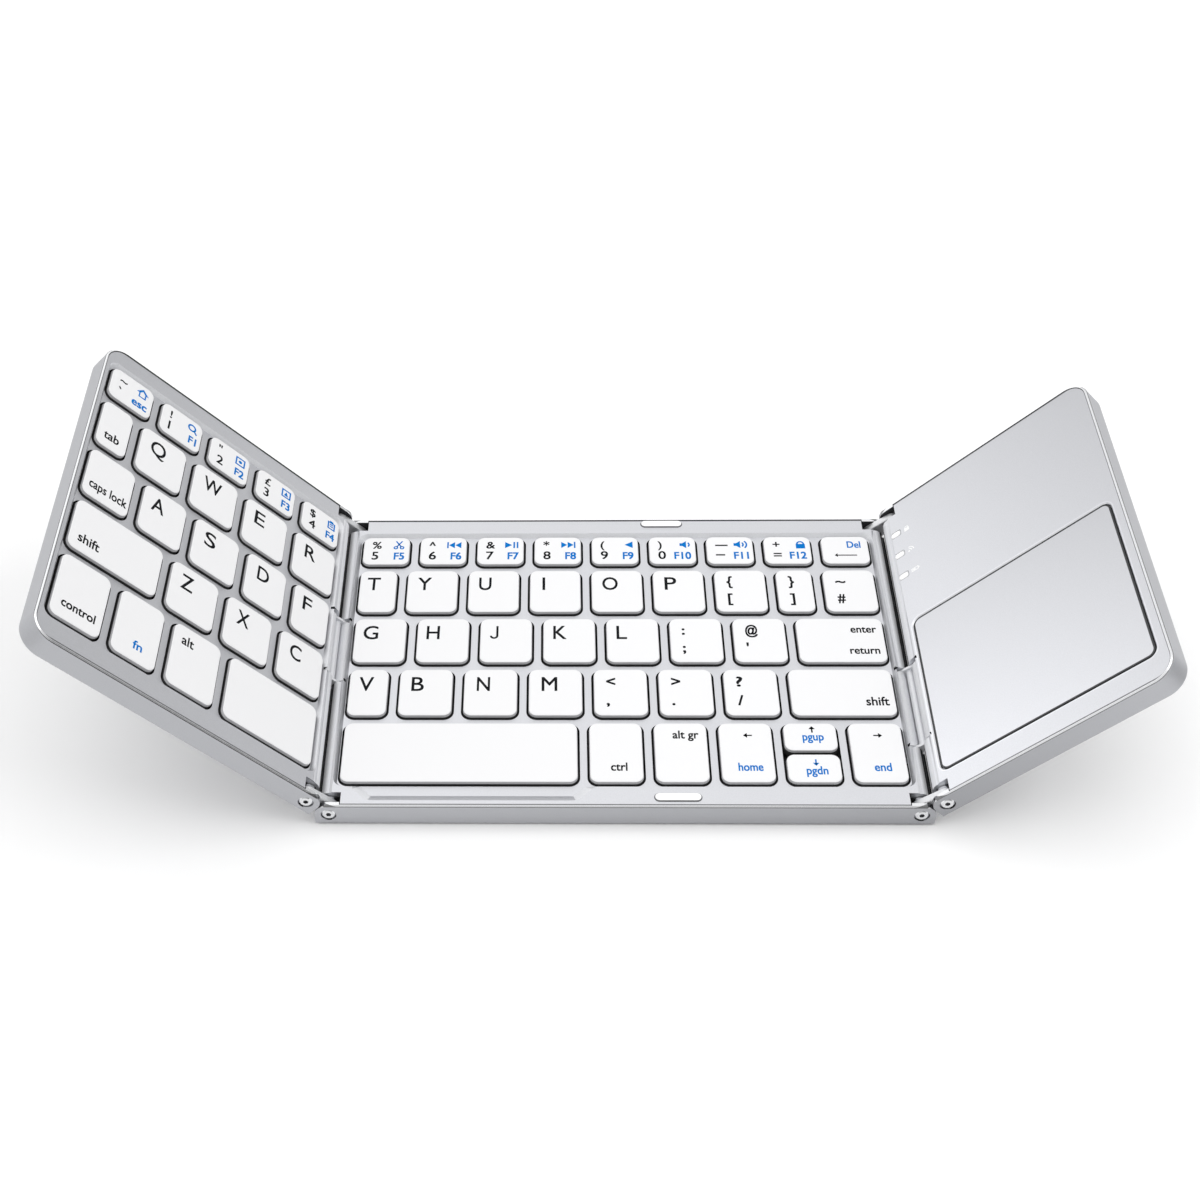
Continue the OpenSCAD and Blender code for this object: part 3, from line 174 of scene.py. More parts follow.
# Lines in the finishes, in mm. Pairs are the distances of a line's two sides from an outline.
EDGE_LINE = (-0.3, 1)  # dark line where a deck meets its lip
LIP_LINE = (-0.14, 1)  # painted shade: dark line where a lip meets the outer wall
PAD_LINE = (-0.1, 0.32)  # painted shadow: dark line round a spacer pad
LIGHT_LINE = (0, 0.22)  # dark line round a light
TOUCH_LINE = (-0.5, 1)  # dark line at the edge of the touchpad
TOUCH_SHINE = (0.25, 0.95)  # polished line round the touchpad
# Corner radii of those outlines, in mm
CASE_CORNER = 6.5
DECK_CORNER = 5.7
TOUCH_CORNER = 2.35
PAD_CORNER = 1.2
LIGHT_CORNER = 0.3
# Shares of the colour in those lines, and of the painted shade on the skirts of the key caps
DARK_LINE = 0.3
DARKEST_LINE = 0.1
SOFT_LINE = 0.5
BRIGHT_LINE = 1.15
SKIRT_SHADE = 0.05

# Where a finish starts and ends, in mm
OPEN_END = 20.0  # added to a deck's outline at a hinge end, where it meets no lip
NOTCH_SHADE = 5.0  # from the front and rear faces: walls of the link notches that get painted shade
LIP = 0.3  # from the outer wall of a shell to its inside
KNUCKLE = 6.5  # from a hinge end: finished like the rolled edges
POCKET = 9.0  # from a hinge end: finished like the rolled edges beside a cable cover
COVER_PLAY = 1.0  # from a cable cover to the end of its pocket
SKIRT = 0.9  # from the top of a key cap to its skirt of painted shade
SKIRT_BLEND = 0.03  # from the middle of the skirt's soft edge to each side of it
SOCKET_START = 0.35  # from the outer face of a screw head to the part in painted shade
RIM = 0.7  # below a shell's top: its cut edge
WELL_DEPTH = 1.5  # below a deck's face: the slopes of the key well
WELL_EDGE = 1.6  # from the keys or the touchpad to the outer edge of that slope
LIGHT_EDGE = 0.5  # from a light to the outer edge of its opening
BETWEEN_LINKS = 0.9  # share of the depth that lies between the front and rear links

# Which way faces lean: least and greatest cosine between a face's normal and its panel's up
UPRIGHT = (-0.1, 0.1)
LEVEL = (0.95, 1.01)
SLOPING = (0.3, 0.98)
RIM_LEAN = (0.3, 1.01)  # cut edge of a shell
KNUCKLE_LEAN = (-0.3, 0.985)  # round hinge ends of a shell
POCKET_LEAN = (-0.3, 1.01)  # walls and floor beside a cable cover
ROLL_LEAN = (0.05, 0.985)  # rolled edges of a deck
GAP_LEAN = {"left": (-0.95, 0.6), "middle": (-0.95, 0.76), "right": (-0.95, 0.6)}  # in the gaps
CAP_WALL_LEAN = (-1, 0.3)
PAD_WALL_LEAN = (-1, 0.75)
ANY_LEAN = (-1.01, 1.01)
# Least size of one part of a face's normal
STRAIGHT = 0.98  # a notch wall that faces straight along or across the panel
ROLLING = 0.1  # a rolled edge that leans towards the hinge
FRONTWARDS = 0.3  # the well slope at the rear, which faces the front

SIDES = ("left", "middle", "right")
KEYS_WITHOUT_PRINT = {"left": "left_space_key", "middle": "right_space_key"}

# Materials


def add_node(owner, kind, settings=None, links=None):
    """Adds one node, sets its sockets or attributes and links outputs of other nodes into it."""
    made = owner.node_tree.nodes.new(kind)
    for name, value in (settings or {}).items():
        if isinstance(name, int) or name in made.inputs:
            made.inputs[name].default_value = value
        else:
            setattr(made, name, value)
    for name, output in (links or {}).items():
        owner.node_tree.links.new(output, made.inputs[name])
    return made


def shader_of(material):
    """The shader of a finish."""
    return material.node_tree.nodes["Principled BSDF"]


def darker(shade, share):
    """A colour of which only a share is left."""
    return tuple(c * share for c in shade)


def grained(name, shade, size, depth, rough, darkest, stretch=None, sockets=None):
    """A material with a fine random grain, which has a size and a bump depth in mm.

    Its roughness lies between two values, and its colour between a share of the shade, the
    darkest, and the shade itself. Sockets are set on its shader.
    """
    made = bpy.data.materials.new(name)
    made.use_nodes = True
    made.node_tree.nodes.clear()
    place = add_node(made, "ShaderNodeTexCoord").outputs["Object"]
    if stretch:
        place = add_node(
            made, "ShaderNodeMapping", {"Scale": stretch}, {"Vector": place}
        ).outputs["Vector"]
    noise = add_node(
        made, "ShaderNodeTexNoise", {"Scale": 1 / (size * MM), "Detail": 2.0}, {"Vector": place}
    ).outputs["Fac"]
    bump = add_node(
        made, "ShaderNodeBump", {"Strength": 1.0, "Distance": depth * MM}, {"Height": noise}
    )
    low, high = 0.3, 0.7  # what the noise mostly keeps between
    polish = add_node(
        made, "ShaderNodeMapRange",
        {"From Min": low, "From Max": high, "To Min": rough[0], "To Max": rough[1]},
        {"Value": noise},
    )
    shades = add_node(made, "ShaderNodeValToRGB", links={"Fac": noise})
    tints = (darker(shade, darkest), shade)
    for stop, spot, tint in zip(shades.color_ramp.elements, (low, high), tints):
        stop.position, stop.color = spot, (*tint, 1)
    shader = add_node(
        made, "ShaderNodeBsdfPrincipled", sockets,
        {
            "Normal": bump.outputs["Normal"],
            "Roughness": polish.outputs["Result"],
            "Base Color": shades.outputs["Color"],
        },
    )
    add_node(made, "ShaderNodeOutputMaterial", links={"Surface": shader.outputs["BSDF"]})
    return made


def along(material, axis):
    """How far each point lies along an axis, read from the coordinates that the grain uses."""
    spot = material.node_tree.nodes["Texture Coordinate"].outputs["Object"]
    return add_node(
        material, "ShaderNodeVectorMath", {"operation": "DOT_PRODUCT", 1: axis}, {0: spot}
    ).outputs["Value"]


def scale_colour(material, value, places, shares):
    """Multiplies a finish's colour by a share that follows a value between two places."""
    share = add_node(
        material, "ShaderNodeMapRange",
        {"From Min": places[0], "From Max": places[1], "To Min": shares[0], "To Max": shares[1]},
        {"Value": value},
    )
    socket = shader_of(material).inputs["Base Color"]
    scaled = add_node(
        material, "ShaderNodeVectorMath", {"operation": "SCALE"},
        {0: socket.links[0].from_socket, "Scale": share.outputs["Result"]},
    )
    material.node_tree.links.new(scaled.outputs["Vector"], socket)


def fade(material, axis, places, shares):
    """Multiplies a finish's colour by shares that change between two places along an axis."""
    scale_colour(material, along(material, axis), places, shares)


def border(material, axes, area, radius, band, share):
    """Multiplies a finish's colour by a share in a band along a rounded rectangle on a panel.

    The band is given by the distances of its two sides from the outline in mm, outwards.
    """
    place = add_node(
        material, "ShaderNodeCombineXYZ",
        links={"X": along(material, axes[0]), "Y": along(material, axes[1])},
    ).outputs["Vector"]
    middle = [(low + high) / 2 for low, high in area]
    core = [(high - low) / 2 - radius * MM for low, high in area]
    none = (0, 0)
    steps = (("SUBTRACT", middle), ("ABSOLUTE", none), ("SUBTRACT", core), ("MAXIMUM", none))
    for operation, value in steps:
        place = add_node(
            material, "ShaderNodeVectorMath", {"operation": operation, 1: (*value, 0)}, {0: place}
        ).outputs["Vector"]
    reach = add_node(material, "ShaderNodeVectorMath", {"operation": "LENGTH"}, {0: place})
    centre = (radius + sum(band) / 2) * MM
    half = (band[1] - band[0]) / 2 * MM
    within = add_node(
        material, "ShaderNodeMath", {"operation": "COMPARE", 1: centre, 2: half},
        {0: reach.outputs["Value"]},
    )
    scale_colour(material, within.outputs["Value"], (0, 1), (1, share))


def blasted_aluminium(name, shade, rough, metallic=1.0):
    """Bead-blasted and clear-anodised aluminium: soft broad gloss with bright and dark pits.

    Real pits are about 0.05 mm wide. They are drawn 0.3 mm wide, or they wouldn't show. Edges
    and slopes that are given less metallic catch more of the lamps and show lighter: painted
    highlight.
    """
    return grained(
        name, shade, size=0.3, depth=0.004, rough=(rough - 0.04, rough + 0.05), darkest=0.92,
        sockets={"Metallic": metallic},
    )


def anodised_sheet(side, shade, axes, area):
    """Anodised deck sheet: satin, and dark where its cut edge meets the lip."""
    material = blasted_aluminium(f"anodised_{side}_sheet", shade, 0.42)
    border(material, axes, area, DECK_CORNER, EDGE_LINE, DARK_LINE)
    return material


def cut_aluminium(side, shade, axes, area):
    """Chamfer cut by a diamond tool after anodising: a narrow bright line with fine tool marks.

    A thin dark line of painted shade parts it from the outer wall.
    """
    material = grained(
        f"diamond_cut_{side}_aluminium", shade, size=0.6, depth=0.0002, rough=(0.16, 0.24),
        darkest=0.97, sockets={"Metallic": 1.0},
    )
    border(material, axes, area, CASE_CORNER, LIP_LINE, DARK_LINE)
    return material


def painted_shade_metal(name):
    """Metal in a dark colour: painted shade where openings, notches, inner walls and gaps give
    little light back.
    """
    return grained(
        name, linear("#3A3A3D"), size=0.4, depth=0.002, rough=(0.5, 0.7), darkest=0.7,
        sockets={"Metallic": 0.6},
    )


def moulded_abs(name, shade):
    """ABS moulded in a spark-eroded tool: matt, with a skin of very fine bumps.

    Real bumps are under 0.1 mm wide. They are drawn 0.3 mm wide, or they wouldn't show.
    """
    return grained(
        name, shade, size=0.3, depth=0.0022, rough=(0.42, 0.52), darkest=0.985,
        sockets={"IOR": 1.54},
    )


def shaded_skirt_abs(side, shade, up, level):
    """Walls of key caps in a greyer colour than the tops, with a dark skirt below the level of the
    deck: both painted shade.
    """
    material = moulded_abs(f"moulded_ABS_{side}_wall", shade)
    blend = SKIRT_BLEND * MM
    fade(material, up, (level - blend, level + blend), (SKIRT_SHADE, 1))
    return material


def polished_steel(name, shade, rough):
    """Barrelled stainless steel: gloss softened by short random scratches."""
    return grained(
        name, shade, size=0.5, depth=0.0004, rough=(rough - 0.04, rough + 0.06), darkest=0.93,
        stretch=(1, 0.3, 1), sockets={"Metallic": 1.0},
    )


def stamped_steel():
    """Rolled and stamped steel sheet: grey with faint rolling lines along its depth."""
    return grained(
        "stamped_steel", linear("#8B8C8F"), size=0.8, depth=0.001, rough=(0.32, 0.46),
        darkest=0.85, stretch=(1, 0.05, 1), sockets={"Metallic": 1.0},
    )


def silicone_film():
    """Silicone rubber dome film: dark grey, so that nothing shines through the key gaps."""
    return grained(
        "silicone_dome_film", linear("#1B1B1D"), size=0.7, depth=0.002, rough=(0.55, 0.7),
        darkest=0.8,
    )


def silicone_rubber(shade):
    """Moulded silicone rubber: dull and a little dusty."""
    return grained(
        "silicone_rubber", shade, size=0.5, depth=0.006, rough=(0.62, 0.78), darkest=0.85
    )


def glossy_polycarbonate(shade):
    """Polycarbonate moulded in a polished tool: clear gloss with slight waviness."""
    return grained(
        "glossy_polycarbonate", shade, size=2.5, depth=0.003, rough=(0.12, 0.18), darkest=0.97,
        sockets={"IOR": 1.58},
    )


def metallic_film(shade, axes, area):
    """Hard-coated film over a metallic print: smooth, slightly pearly, dark at its edge."""
    material = grained(
        "metallic_touch_film", shade, size=0.25, depth=0.0025, rough=(0.36, 0.44), darkest=0.93,
        sockets={"Metallic": 0.9},
    )
    border(material, axes, area, TOUCH_CORNER, TOUCH_LINE, DARKEST_LINE)
    return material


def circuit_board():
    """Glass-epoxy board under green solder mask: satin, with the weave just felt."""
    return grained(
        "glass_epoxy_board", linear("#1E5B38"), size=0.5, depth=0.004, rough=(0.3, 0.45),
        darkest=0.8, sockets={"IOR": 1.55},
    )


def pouch_foil():
    """Aluminium-laminate pouch of the lithium cell: crinkled soft silver."""
    return grained(
        "laminate_pouch_foil", linear("#B9BABC"), size=4.0, depth=0.08, rough=(0.3, 0.42),
        darkest=0.88, sockets={"Metallic": 1.0},
    )


def polyimide_film():
    """Polyimide flat cable: amber film over copper tracks that run along it."""
    return grained(
        "polyimide_film", linear("#3A2A1C"), size=0.5, depth=0.002, rough=(0.28, 0.4),
        darkest=0.6, stretch=(0.02, 1, 0.02), sockets={"IOR": 1.7},
    )


def pad_print(name, shade):
    """Pad-printed ink: flat and slightly rough, with hardly any gloss."""
    return grained(
        name, shade, size=0.35, depth=0.002, rough=(0.5, 0.65), darkest=0.9,
        sockets={"Specular IOR Level": 0.05},
    )


# Reading the frame


def panel_axes(side):
    """Unit vectors across a panel, along its depth and out of its top, as it stands at rest."""
    if side == "middle":
        return Vector((1, 0, 0)), Vector((0, 1, 0)), Vector((0, 0, 1))
    flat = {j["name"]: j["range_deg"][0] for j in frame["joints"] if j["type"] == "hinge"}
    tilt = -math.radians(flat[side + "_link_swing"] + flat[side + "_panel_swing"])
    lean = 1 if side == "left" else -1
    across = Vector((math.cos(tilt), 0, -lean * math.sin(tilt)))
    out = Vector((lean * math.sin(tilt), 0, math.cos(tilt)))
    return across, Vector((0, 1, 0)), out


def points_of(node):
    """The places of a CAD node's corners."""
    return [v.co for v in frame["nodes"][node].data.vertices]


def span(values):
    """The lowest and the highest of some values."""
    return min(values), max(values)


def spread(nodes, axes, margin):
    """The lowest and highest place of some nodes across and along a panel, with a margin in mm."""
    points = [point for node in nodes for point in points_of(node)]
    spans = [span([point @ axis for point in points]) for axis in axes[:2]]
    return [(low - margin * MM, high + margin * MM) for low, high in spans]


def islands(node, axes):
    """The reach across and along a panel of a node's pieces, which stand over 1 mm apart."""
    places = sorted((point @ axes[1], point @ axes[0]) for point in points_of(node))
    parts = [[places[0]]]
    for before, place in zip(places, places[1:]):
        if place[0] - before[0] > MM:
            parts.append([])
        parts[-1].append(place)
    return [(span([p[1] for p in part]), span([p[0] for p in part])) for part in parts]


def tops_of(node, axes):
    """The flat tops of a node's keys as (left, right, front, rear, height), from left to right."""
    apart, near = 0.5 * MM, 0.01 * MM
    mesh = frame["nodes"][node].data
    corners = [[v.co @ axis for axis in axes] for v in mesh.vertices]
    spans = sorted(span([corners[i][0] for i in face.vertices]) for face in mesh.polygons)
    keys = [list(spans[0])]
    for low, high in spans[1:]:
        if low > keys[-1][1] + apart:
            keys.append([low, high])
        keys[-1][1] = max(keys[-1][1], high)
    tops = []
    for low, high in keys:
        own = [c for c in corners if low - near <= c[0] <= high + near]
        height = max(c[2] for c in own)
        face = [c for c in own if c[2] > height - near]
        tops.append((*span([c[0] for c in face]), *span([c[1] for c in face]), height))
    return tops


# Prints: words from the built-in font, and signs drawn from flat outlines


def arc(x, y, radius, start=0.0, end=360.0, steps=20):
    """Points along an arc, with angles in degrees."""
    count = steps if end - start == 360 else steps + 1
    turns = [math.radians(start + (end - start) * i / steps) for i in range(count)]
    return [(x + radius * math.cos(t), y + radius * math.sin(t)) for t in turns]


def bar(x0, y0, x1, y1, width=0.16):
    """A straight stroke with square ends."""
    run = Vector((x1 - x0, y1 - y0)).normalized() * width / 2
    return [
        (x0 - run.y, y0 + run.x), (x0 + run.y, y0 - run.x),
        (x1 + run.y, y1 - run.x), (x1 - run.y, y1 + run.x),
    ]


def bow(x, y, radius, start, end, width=0.16):
    """A stroke along an arc."""
    outer, inner = (arc(x, y, radius + side * width / 2, start, end, 12) for side in (1, -1))
    return outer + inner[::-1]


def hoop(x, y, radius, width=0.16):
    """A stroke along a circle."""
    return [arc(x, y, radius + width / 2), arc(x, y, radius - width / 2)]


def box(x0, y0, x1, y1):
    """A solid rectangle."""
    return [(x0, y0), (x1, y0), (x1, y1), (x0, y1)]


def frame_of(x0, y0, x1, y1, width=0.14):
    """A stroke along a rectangle."""
    return [box(x0, y0, x1, y1), box(x0 + width, y0 + width, x1 - width, y1 - width)]


def triangle(x0, x1, low=0.1, high=0.9):
    """A solid triangle that points from x0 to x1."""
    return [(x0, low), (x0, high), (x1, (low + high) / 2)]


def arrow(angle, reach, head=0.42):
    """An arrow with a solid head, turned by an angle in degrees about the middle of a sign."""
    turn = Matrix.Rotation(math.radians(angle), 2)
    half = reach / 2
    foot = half - head * 1.2
    strokes = [bar(-half, 0, half - head / 2, 0, 0.2), [(half, 0), (foot, head), (foot, -head)]]
    return [[[tuple(turn @ Vector(p) + Vector((0, 0.5))) for p in stroke]] for stroke in strokes]


HOUSE = [(0, 0.5), (0.56, 1.04), (1.12, 0.5), (0.9, 0.5), (0.9, 0), (0.22, 0), (0.22, 0.5)]
HOUSE_HOLE = [(0.34, 0.54), (0.56, 0.78), (0.78, 0.54), (0.78, 0.12), (0.34, 0.12)]
SPEAKER = [(0.0, 0.33), (0.22, 0.33), (0.55, 0.06), (0.55, 0.94), (0.22, 0.67), (0.0, 0.67)]
WAVE = bow(0.5, 0.5, 0.3, -50, 50, 0.14)

# Each sign is drawn 1 high from its foot. A part is an outline and the holes in it.
SIGNS = {
    "house": [[HOUSE, HOUSE_HOLE]],
    "search": [hoop(0.42, 0.56, 0.32), [bar(0.64, 0.34, 0.92, 0.04)]],
    "select": [frame_of(0, 0.02, 0.94, 0.96), [arc(0.47, 0.49, 0.17)]],
    "copy": [frame_of(0, 0.02, 0.94, 0.96), [[(0.25, 0.25), (0.69, 0.25), (0.47, 0.75)]]],
    "paste": [
        frame_of(0.08, 0, 0.86, 0.86), [box(0.28, 0.86, 0.66, 1.0)],
        [box(0.28, 0.3, 0.66, 0.42)], [box(0.28, 0.52, 0.66, 0.64)],
    ],
    "cut": [
        hoop(0.2, 0.2, 0.14, 0.12), hoop(0.72, 0.2, 0.14, 0.12),
        [bar(0.27, 0.31, 0.72, 1.0, 0.12)], [bar(0.65, 0.31, 0.2, 1.0, 0.12)],
    ],
    "previous": [
        [box(0, 0.12, 0.13, 0.88)], [triangle(0.66, 0.15, 0.12, 0.88)],
        [triangle(1.2, 0.69, 0.12, 0.88)],
    ],
    "play": [
        [triangle(0, 0.6, 0.12, 0.88)], [box(0.7, 0.12, 0.84, 0.88)],
        [box(0.98, 0.12, 1.12, 0.88)],
    ],
    "next": [
        [triangle(0, 0.51, 0.12, 0.88)], [triangle(0.54, 1.05, 0.12, 0.88)],
        [box(1.07, 0.12, 1.2, 0.88)],
    ],
    "mute": [[triangle(0.68, 0.0, 0.1, 0.9)]],
    "J": [[box(0.35, 0.25, 0.47, 1.0)], [bow(0.235, 0.25, 0.175, 180, 360, 0.12)]],
    "long_dash": [[box(0, 0.28, 1.3, 0.48)]],
    "dash": [[box(0, 0.42, 0.84, 0.6)]],
    "quieter": [[SPEAKER], [WAVE]],
    "louder": [[SPEAKER], [WAVE], [bow(0.5, 0.5, 0.58, -45, 45, 0.14)]],
    "lock": [[box(0.1, 0, 0.86, 0.56)], [bow(0.48, 0.56, 0.27, 0, 180, 0.14)]],
    "long_left_arrow": arrow(180, 3.2, 0.36),
    "left_arrow": arrow(180, 1.15),
    "right_arrow": arrow(0, 1.15),
    "up_arrow": arrow(90, 1.1),
    "down_arrow": arrow(-90, 1.1),
    "radio": [
        [arc(0.2, 0.14, 0.13)], [bow(0.2, 0.14, 0.42, 0, 90, 0.14)],
        [bow(0.2, 0.14, 0.74, 0, 90, 0.14)],
    ],
    "battery": [
        frame_of(0, 0.2, 1.1, 0.8, 0.13), [box(1.12, 0.38, 1.24, 0.62)],
        [box(0.24, 0.36, 0.62, 0.64)],
    ],
}

# Where a print goes on the flat top of its key: side, mm in from it, rear or front, mm in from
# that to the print's top or base line, and the names of its height and weight in the settings.
PLACES = {
    "letter": ("left", 2.3, "rear", 2.7, "letter", "weight"),
    "upper": ("left", 3.1, "rear", 2.6, "large_mark", "mark_weight"),
    "lower": ("left", 3.1, "front", 3.5, "large_mark", "mark_weight"),
    "shifted": ("left", 2.3, "rear", 1.7, "mark", "word_weight"),
    "digit": ("left", 2.3, "front", 1.8, "digit", "word_weight"),
    "function": ("right", 1.1, "front", 1.8, "function", "mark_weight"),
    "sign": ("right", 1.25, "rear", 1.35, "sign", "weight"),
    "deleting": ("right", 1.9, "rear", 1.9, "word", "word_weight"),
    "low_left": ("left", 2.1, "front", 2.9, "large_word", "word_weight"),
    "control": ("left", 2.3, "front", 3.6, "word", "word_weight"),
    "high_left": ("left", 3.2, "rear", 2.8, "large_word", "word_weight"),
    "low_right": ("right", 1.4, "front", 3.4, "large_word", "word_weight"),
    "enter": ("right", 1.6, "rear", 2.7, "word", "word_weight"),
    "return": ("right", 1.5, "front", 2.9, "word", "word_weight"),
    "low_middle": ("middle", 0.7, "front", 3.6, "word", "word_weight"),
    "high_middle": ("middle", 1.4, "rear", 2.5, "word", "word_weight"),
    "long_arrow": ("left", 3.2, "front", 2.2, "arrow", "weight"),
    "high_arrow": ("middle", 0.6, "rear", 3.1, "arrow", "weight"),
    "up_half_arrow": ("middle", 0.6, "rear", 0.9, "arrow", "weight"),
    "up_half_word": ("middle", 0.7, "front", 3.2, "word", "word_weight"),
    "down_half_arrow": ("middle", 0.6, "rear", 1.6, "arrow", "weight"),
    "down_half_word": ("middle", 0.7, "front", 2.4, "word", "word_weight"),
}
# Distance of a letter from the left side of its key, in mm
INSETS = dict(
    Q=3.1, W=3.1, E=3.0, R=3.4, A=2.5, S=3.1, D=3.3, F=2.8, Z=2.9, X=3.2, C=3.2, T=1.9, Y=2.7,
    U=2.7, I=3.3, O=2.8, P=3.0, G=2.2, H=2.3, J=2.4, K=2.5, L=2.5, V=2.4, B=3.0, N=3.2, M=3.2,
)
# Width of a letter, mark or word, in mm
WIDTHS = {
    **dict(
        Q=4.9, W=5.9, E=3.6, R=3.9, A=4.0, S=3.7, D=4.0, F=3.2, Z=3.8, X=4.0, C=3.9, T=3.9,
        Y=4.1, U=3.7, I=0.8, O=4.6, P=3.5, G=4.3, H=3.8, K=3.8, L=3.0, V=4.1, B=3.5, N=3.7,
        M=4.4, fn=2.9, esc=5.0, home=6.7, pgup=5.8, pgdn=5.8, end=4.6, Del=4.1,
    ),
    "#": 2.3, "@": 3.6, "?": 1.8, "<": 2.6, ">": 2.6, "9": 2.2, "0": 2.3, "8": 2.2, "6": 2.2,
}

DARK, BLUE = "ink", "function_ink"


def letters(text):
    """Keys with one capital each."""
    return [[(letter, "letter", DARK, INSETS[letter])] for letter in text]


def two_marks(pairs):
    """Keys with one mark over another."""
    return [[(high, "upper", DARK), (low, "lower", DARK)] for high, low in pairs]


def number(high, low, function, sign):
    """A key of the number row: two marks on the left, its function in blue on the right."""
    return [
        (high, "shifted", DARK), (low, "digit", DARK),
        (function, "function", BLUE), (sign, "sign", BLUE),
    ]


# The prints of each key of a node, from left to right: text or sign, place, ink and own inset
PRINTS = {
    "left": {
        "escape_key": [number("~", "`", "esc", "house")],
        "left_number_keys": [
            number("!", "1", "F1", "search"), number('"', "2", "F2", "select"),
            number("£", "3", "F3", "copy"), number("$", "4", "F4", "paste"),
        ],
        "tab_key": [[("tab", "low_left", DARK, 1.7)]],
        "left_top_letter_keys": letters("QWER"),
        "caps_lock_key": [[("caps lock", "low_left", DARK, 1.3)]],
        "left_home_letter_keys": letters("ASDF"),
        "left_shift_key": [[("shift", "low_left", DARK, 2.2)]],
        "left_bottom_letter_keys": letters("ZXC"),
        "control_key": [[("control", "control", DARK, 2.3)]],
        "function_key": [[("fn", "low_middle", BLUE)]],
        "left_alt_key": [[("alt", "high_left", DARK, 2.3)]],
    },
    "middle": {
        "middle_number_keys": [
            number("%", "5", "F5", "cut"), number("^", "6", "F6", "previous"),
            number("&", "7", "F7", "play"), number("*", "8", "F8", "next"),
            number("(", "9", "F9", "mute"), number(")", "0", "F10", "quieter"),
            number("long_dash", "dash", "F11", "louder"), number("+", "=", "F12", "lock"),
        ],
        "backspace_key": [[("Del", "deleting", BLUE), ("long_left_arrow", "long_arrow", DARK)]],
        "middle_top_letter_keys": letters("TYUIOP") + two_marks(("{[", "}]", "~#")),
        "middle_home_letter_keys": letters("GHJKL") + two_marks((":;", "@'")),
        "enter_key": [[("enter", "enter", DARK), ("return", "return", DARK)]],
        "middle_bottom_letter_keys": letters("VBNM") + two_marks(("<,", ">.", "?/")),
        "right_shift_key": [[("shift", "low_right", DARK)]],
        "right_modifier_keys": [
            [("ctrl", "low_middle", DARK)], [("alt gr", "high_middle", DARK)],
        ],
        "left_arrow_key": [[("left_arrow", "high_arrow", DARK), ("home", "low_middle", BLUE)]],
        "up_arrow_key": [[("up_arrow", "up_half_arrow", DARK), ("pgup", "up_half_word", BLUE)]],
        "down_arrow_key": [
            [("down_arrow", "down_half_arrow", BLUE), ("pgdn", "down_half_word", BLUE)],
        ],
        "right_arrow_key": [[("right_arrow", "high_arrow", DARK), ("end", "low_middle", BLUE)]],
    },
}


def mesh_span(mesh, axis):
    """The lowest and highest place of a mesh along an axis."""
    return span([v.co[axis] for v in mesh.vertices])


def widen(mesh, share):
    """Stretches a flat mesh sideways."""
    mesh.transform(Matrix.Diagonal((share, 1, 1, 1)))


def join(target, mesh):
    """Adds a mesh to a bmesh and takes the mesh away."""
    target.from_mesh(mesh)
    bpy.data.meshes.remove(mesh)


def as_mesh(curve):
    """A flat curve or text as a mesh, with the curve taken away again."""
    holder = bpy.data.objects.new(curve.name, curve)
    mesh = bpy.data.meshes.new_from_object(holder)
    bpy.data.objects.remove(holder)
    bpy.data.curves.remove(curve)
    return mesh


def capital_share():
    """How high the built-in font's capitals are at size 1."""
    curve = bpy.data.curves.new("capital", "FONT")
    curve.body = "H"
    mesh = as_mesh(curve)
    high = mesh_span(mesh, 1)[1]
    bpy.data.meshes.remove(mesh)
    return high


def bolder(mesh, weight):
    """A flat mesh with wider strokes, made of four copies shifted to the corners of a square."""
    layer = 0.001 * MM  # lifts each copy off the last, so that no two faces share a plane
    whole = bmesh.new()
    for step, corner in enumerate(((-1, -1), (1, -1), (1, 1), (-1, 1))):
        copy = mesh.copy()
        shift = (corner[0] * weight, corner[1] * weight, step * layer)
        copy.transform(Matrix.Translation(shift))
        join(whole, copy)
    whole.to_mesh(mesh)
    whole.free()
    return mesh


def word_mesh(word, height, settings, weight):
    """A word whose capitals have a height, standing on its base line near x = 0.

    The weight that is added on both sides of its strokes counts in its width.
    """
    curve = bpy.data.curves.new("word", "FONT")
    curve.body = word
    curve.size = height / capital_share()
    curve.extrude = settings.thickness / 2
    curve.resolution_u = 4
    mesh = as_mesh(curve)
    if word in WIDTHS:
        low, high = mesh_span(mesh, 0)
        widen(mesh, (WIDTHS[word] * MM - 2 * weight) / (high - low))
    elif len(word) > 1:
        widen(mesh, settings.narrowing)
    return bolder(mesh, weight)


def sign_mesh(name, height, thickness):
    """A sign of a height, from its flat outlines."""
    whole = bmesh.new()
    for part in SIGNS[name]:
        curve = bpy.data.curves.new("sign", "CURVE")
        curve.dimensions = "2D"
        curve.fill_mode = "BOTH"
        curve.extrude = thickness / 2
        for outline in part:
            spline = curve.splines.new("POLY")
            spline.points.add(len(outline) - 1)
            spline.use_cyclic_u = True
            for point, (x, y) in zip(spline.points, outline):
                point.co = (x * height, y * height, 0, 1)
        join(whole, as_mesh(curve))
    mesh = bpy.data.meshes.new("sign")
    whole.to_mesh(mesh)
    whole.free()
    return mesh


def lay(target, mesh, axes, place, thickness):
    """Adds a flat mesh to a bmesh, on a panel's top at a place, a quarter of it sunk in."""
    x, y, level = place
    mesh.transform(
        Matrix(axes).transposed().to_4x4() @ Matrix.Translation((x, y, level + thickness / 4))
    )
    join(target, mesh)


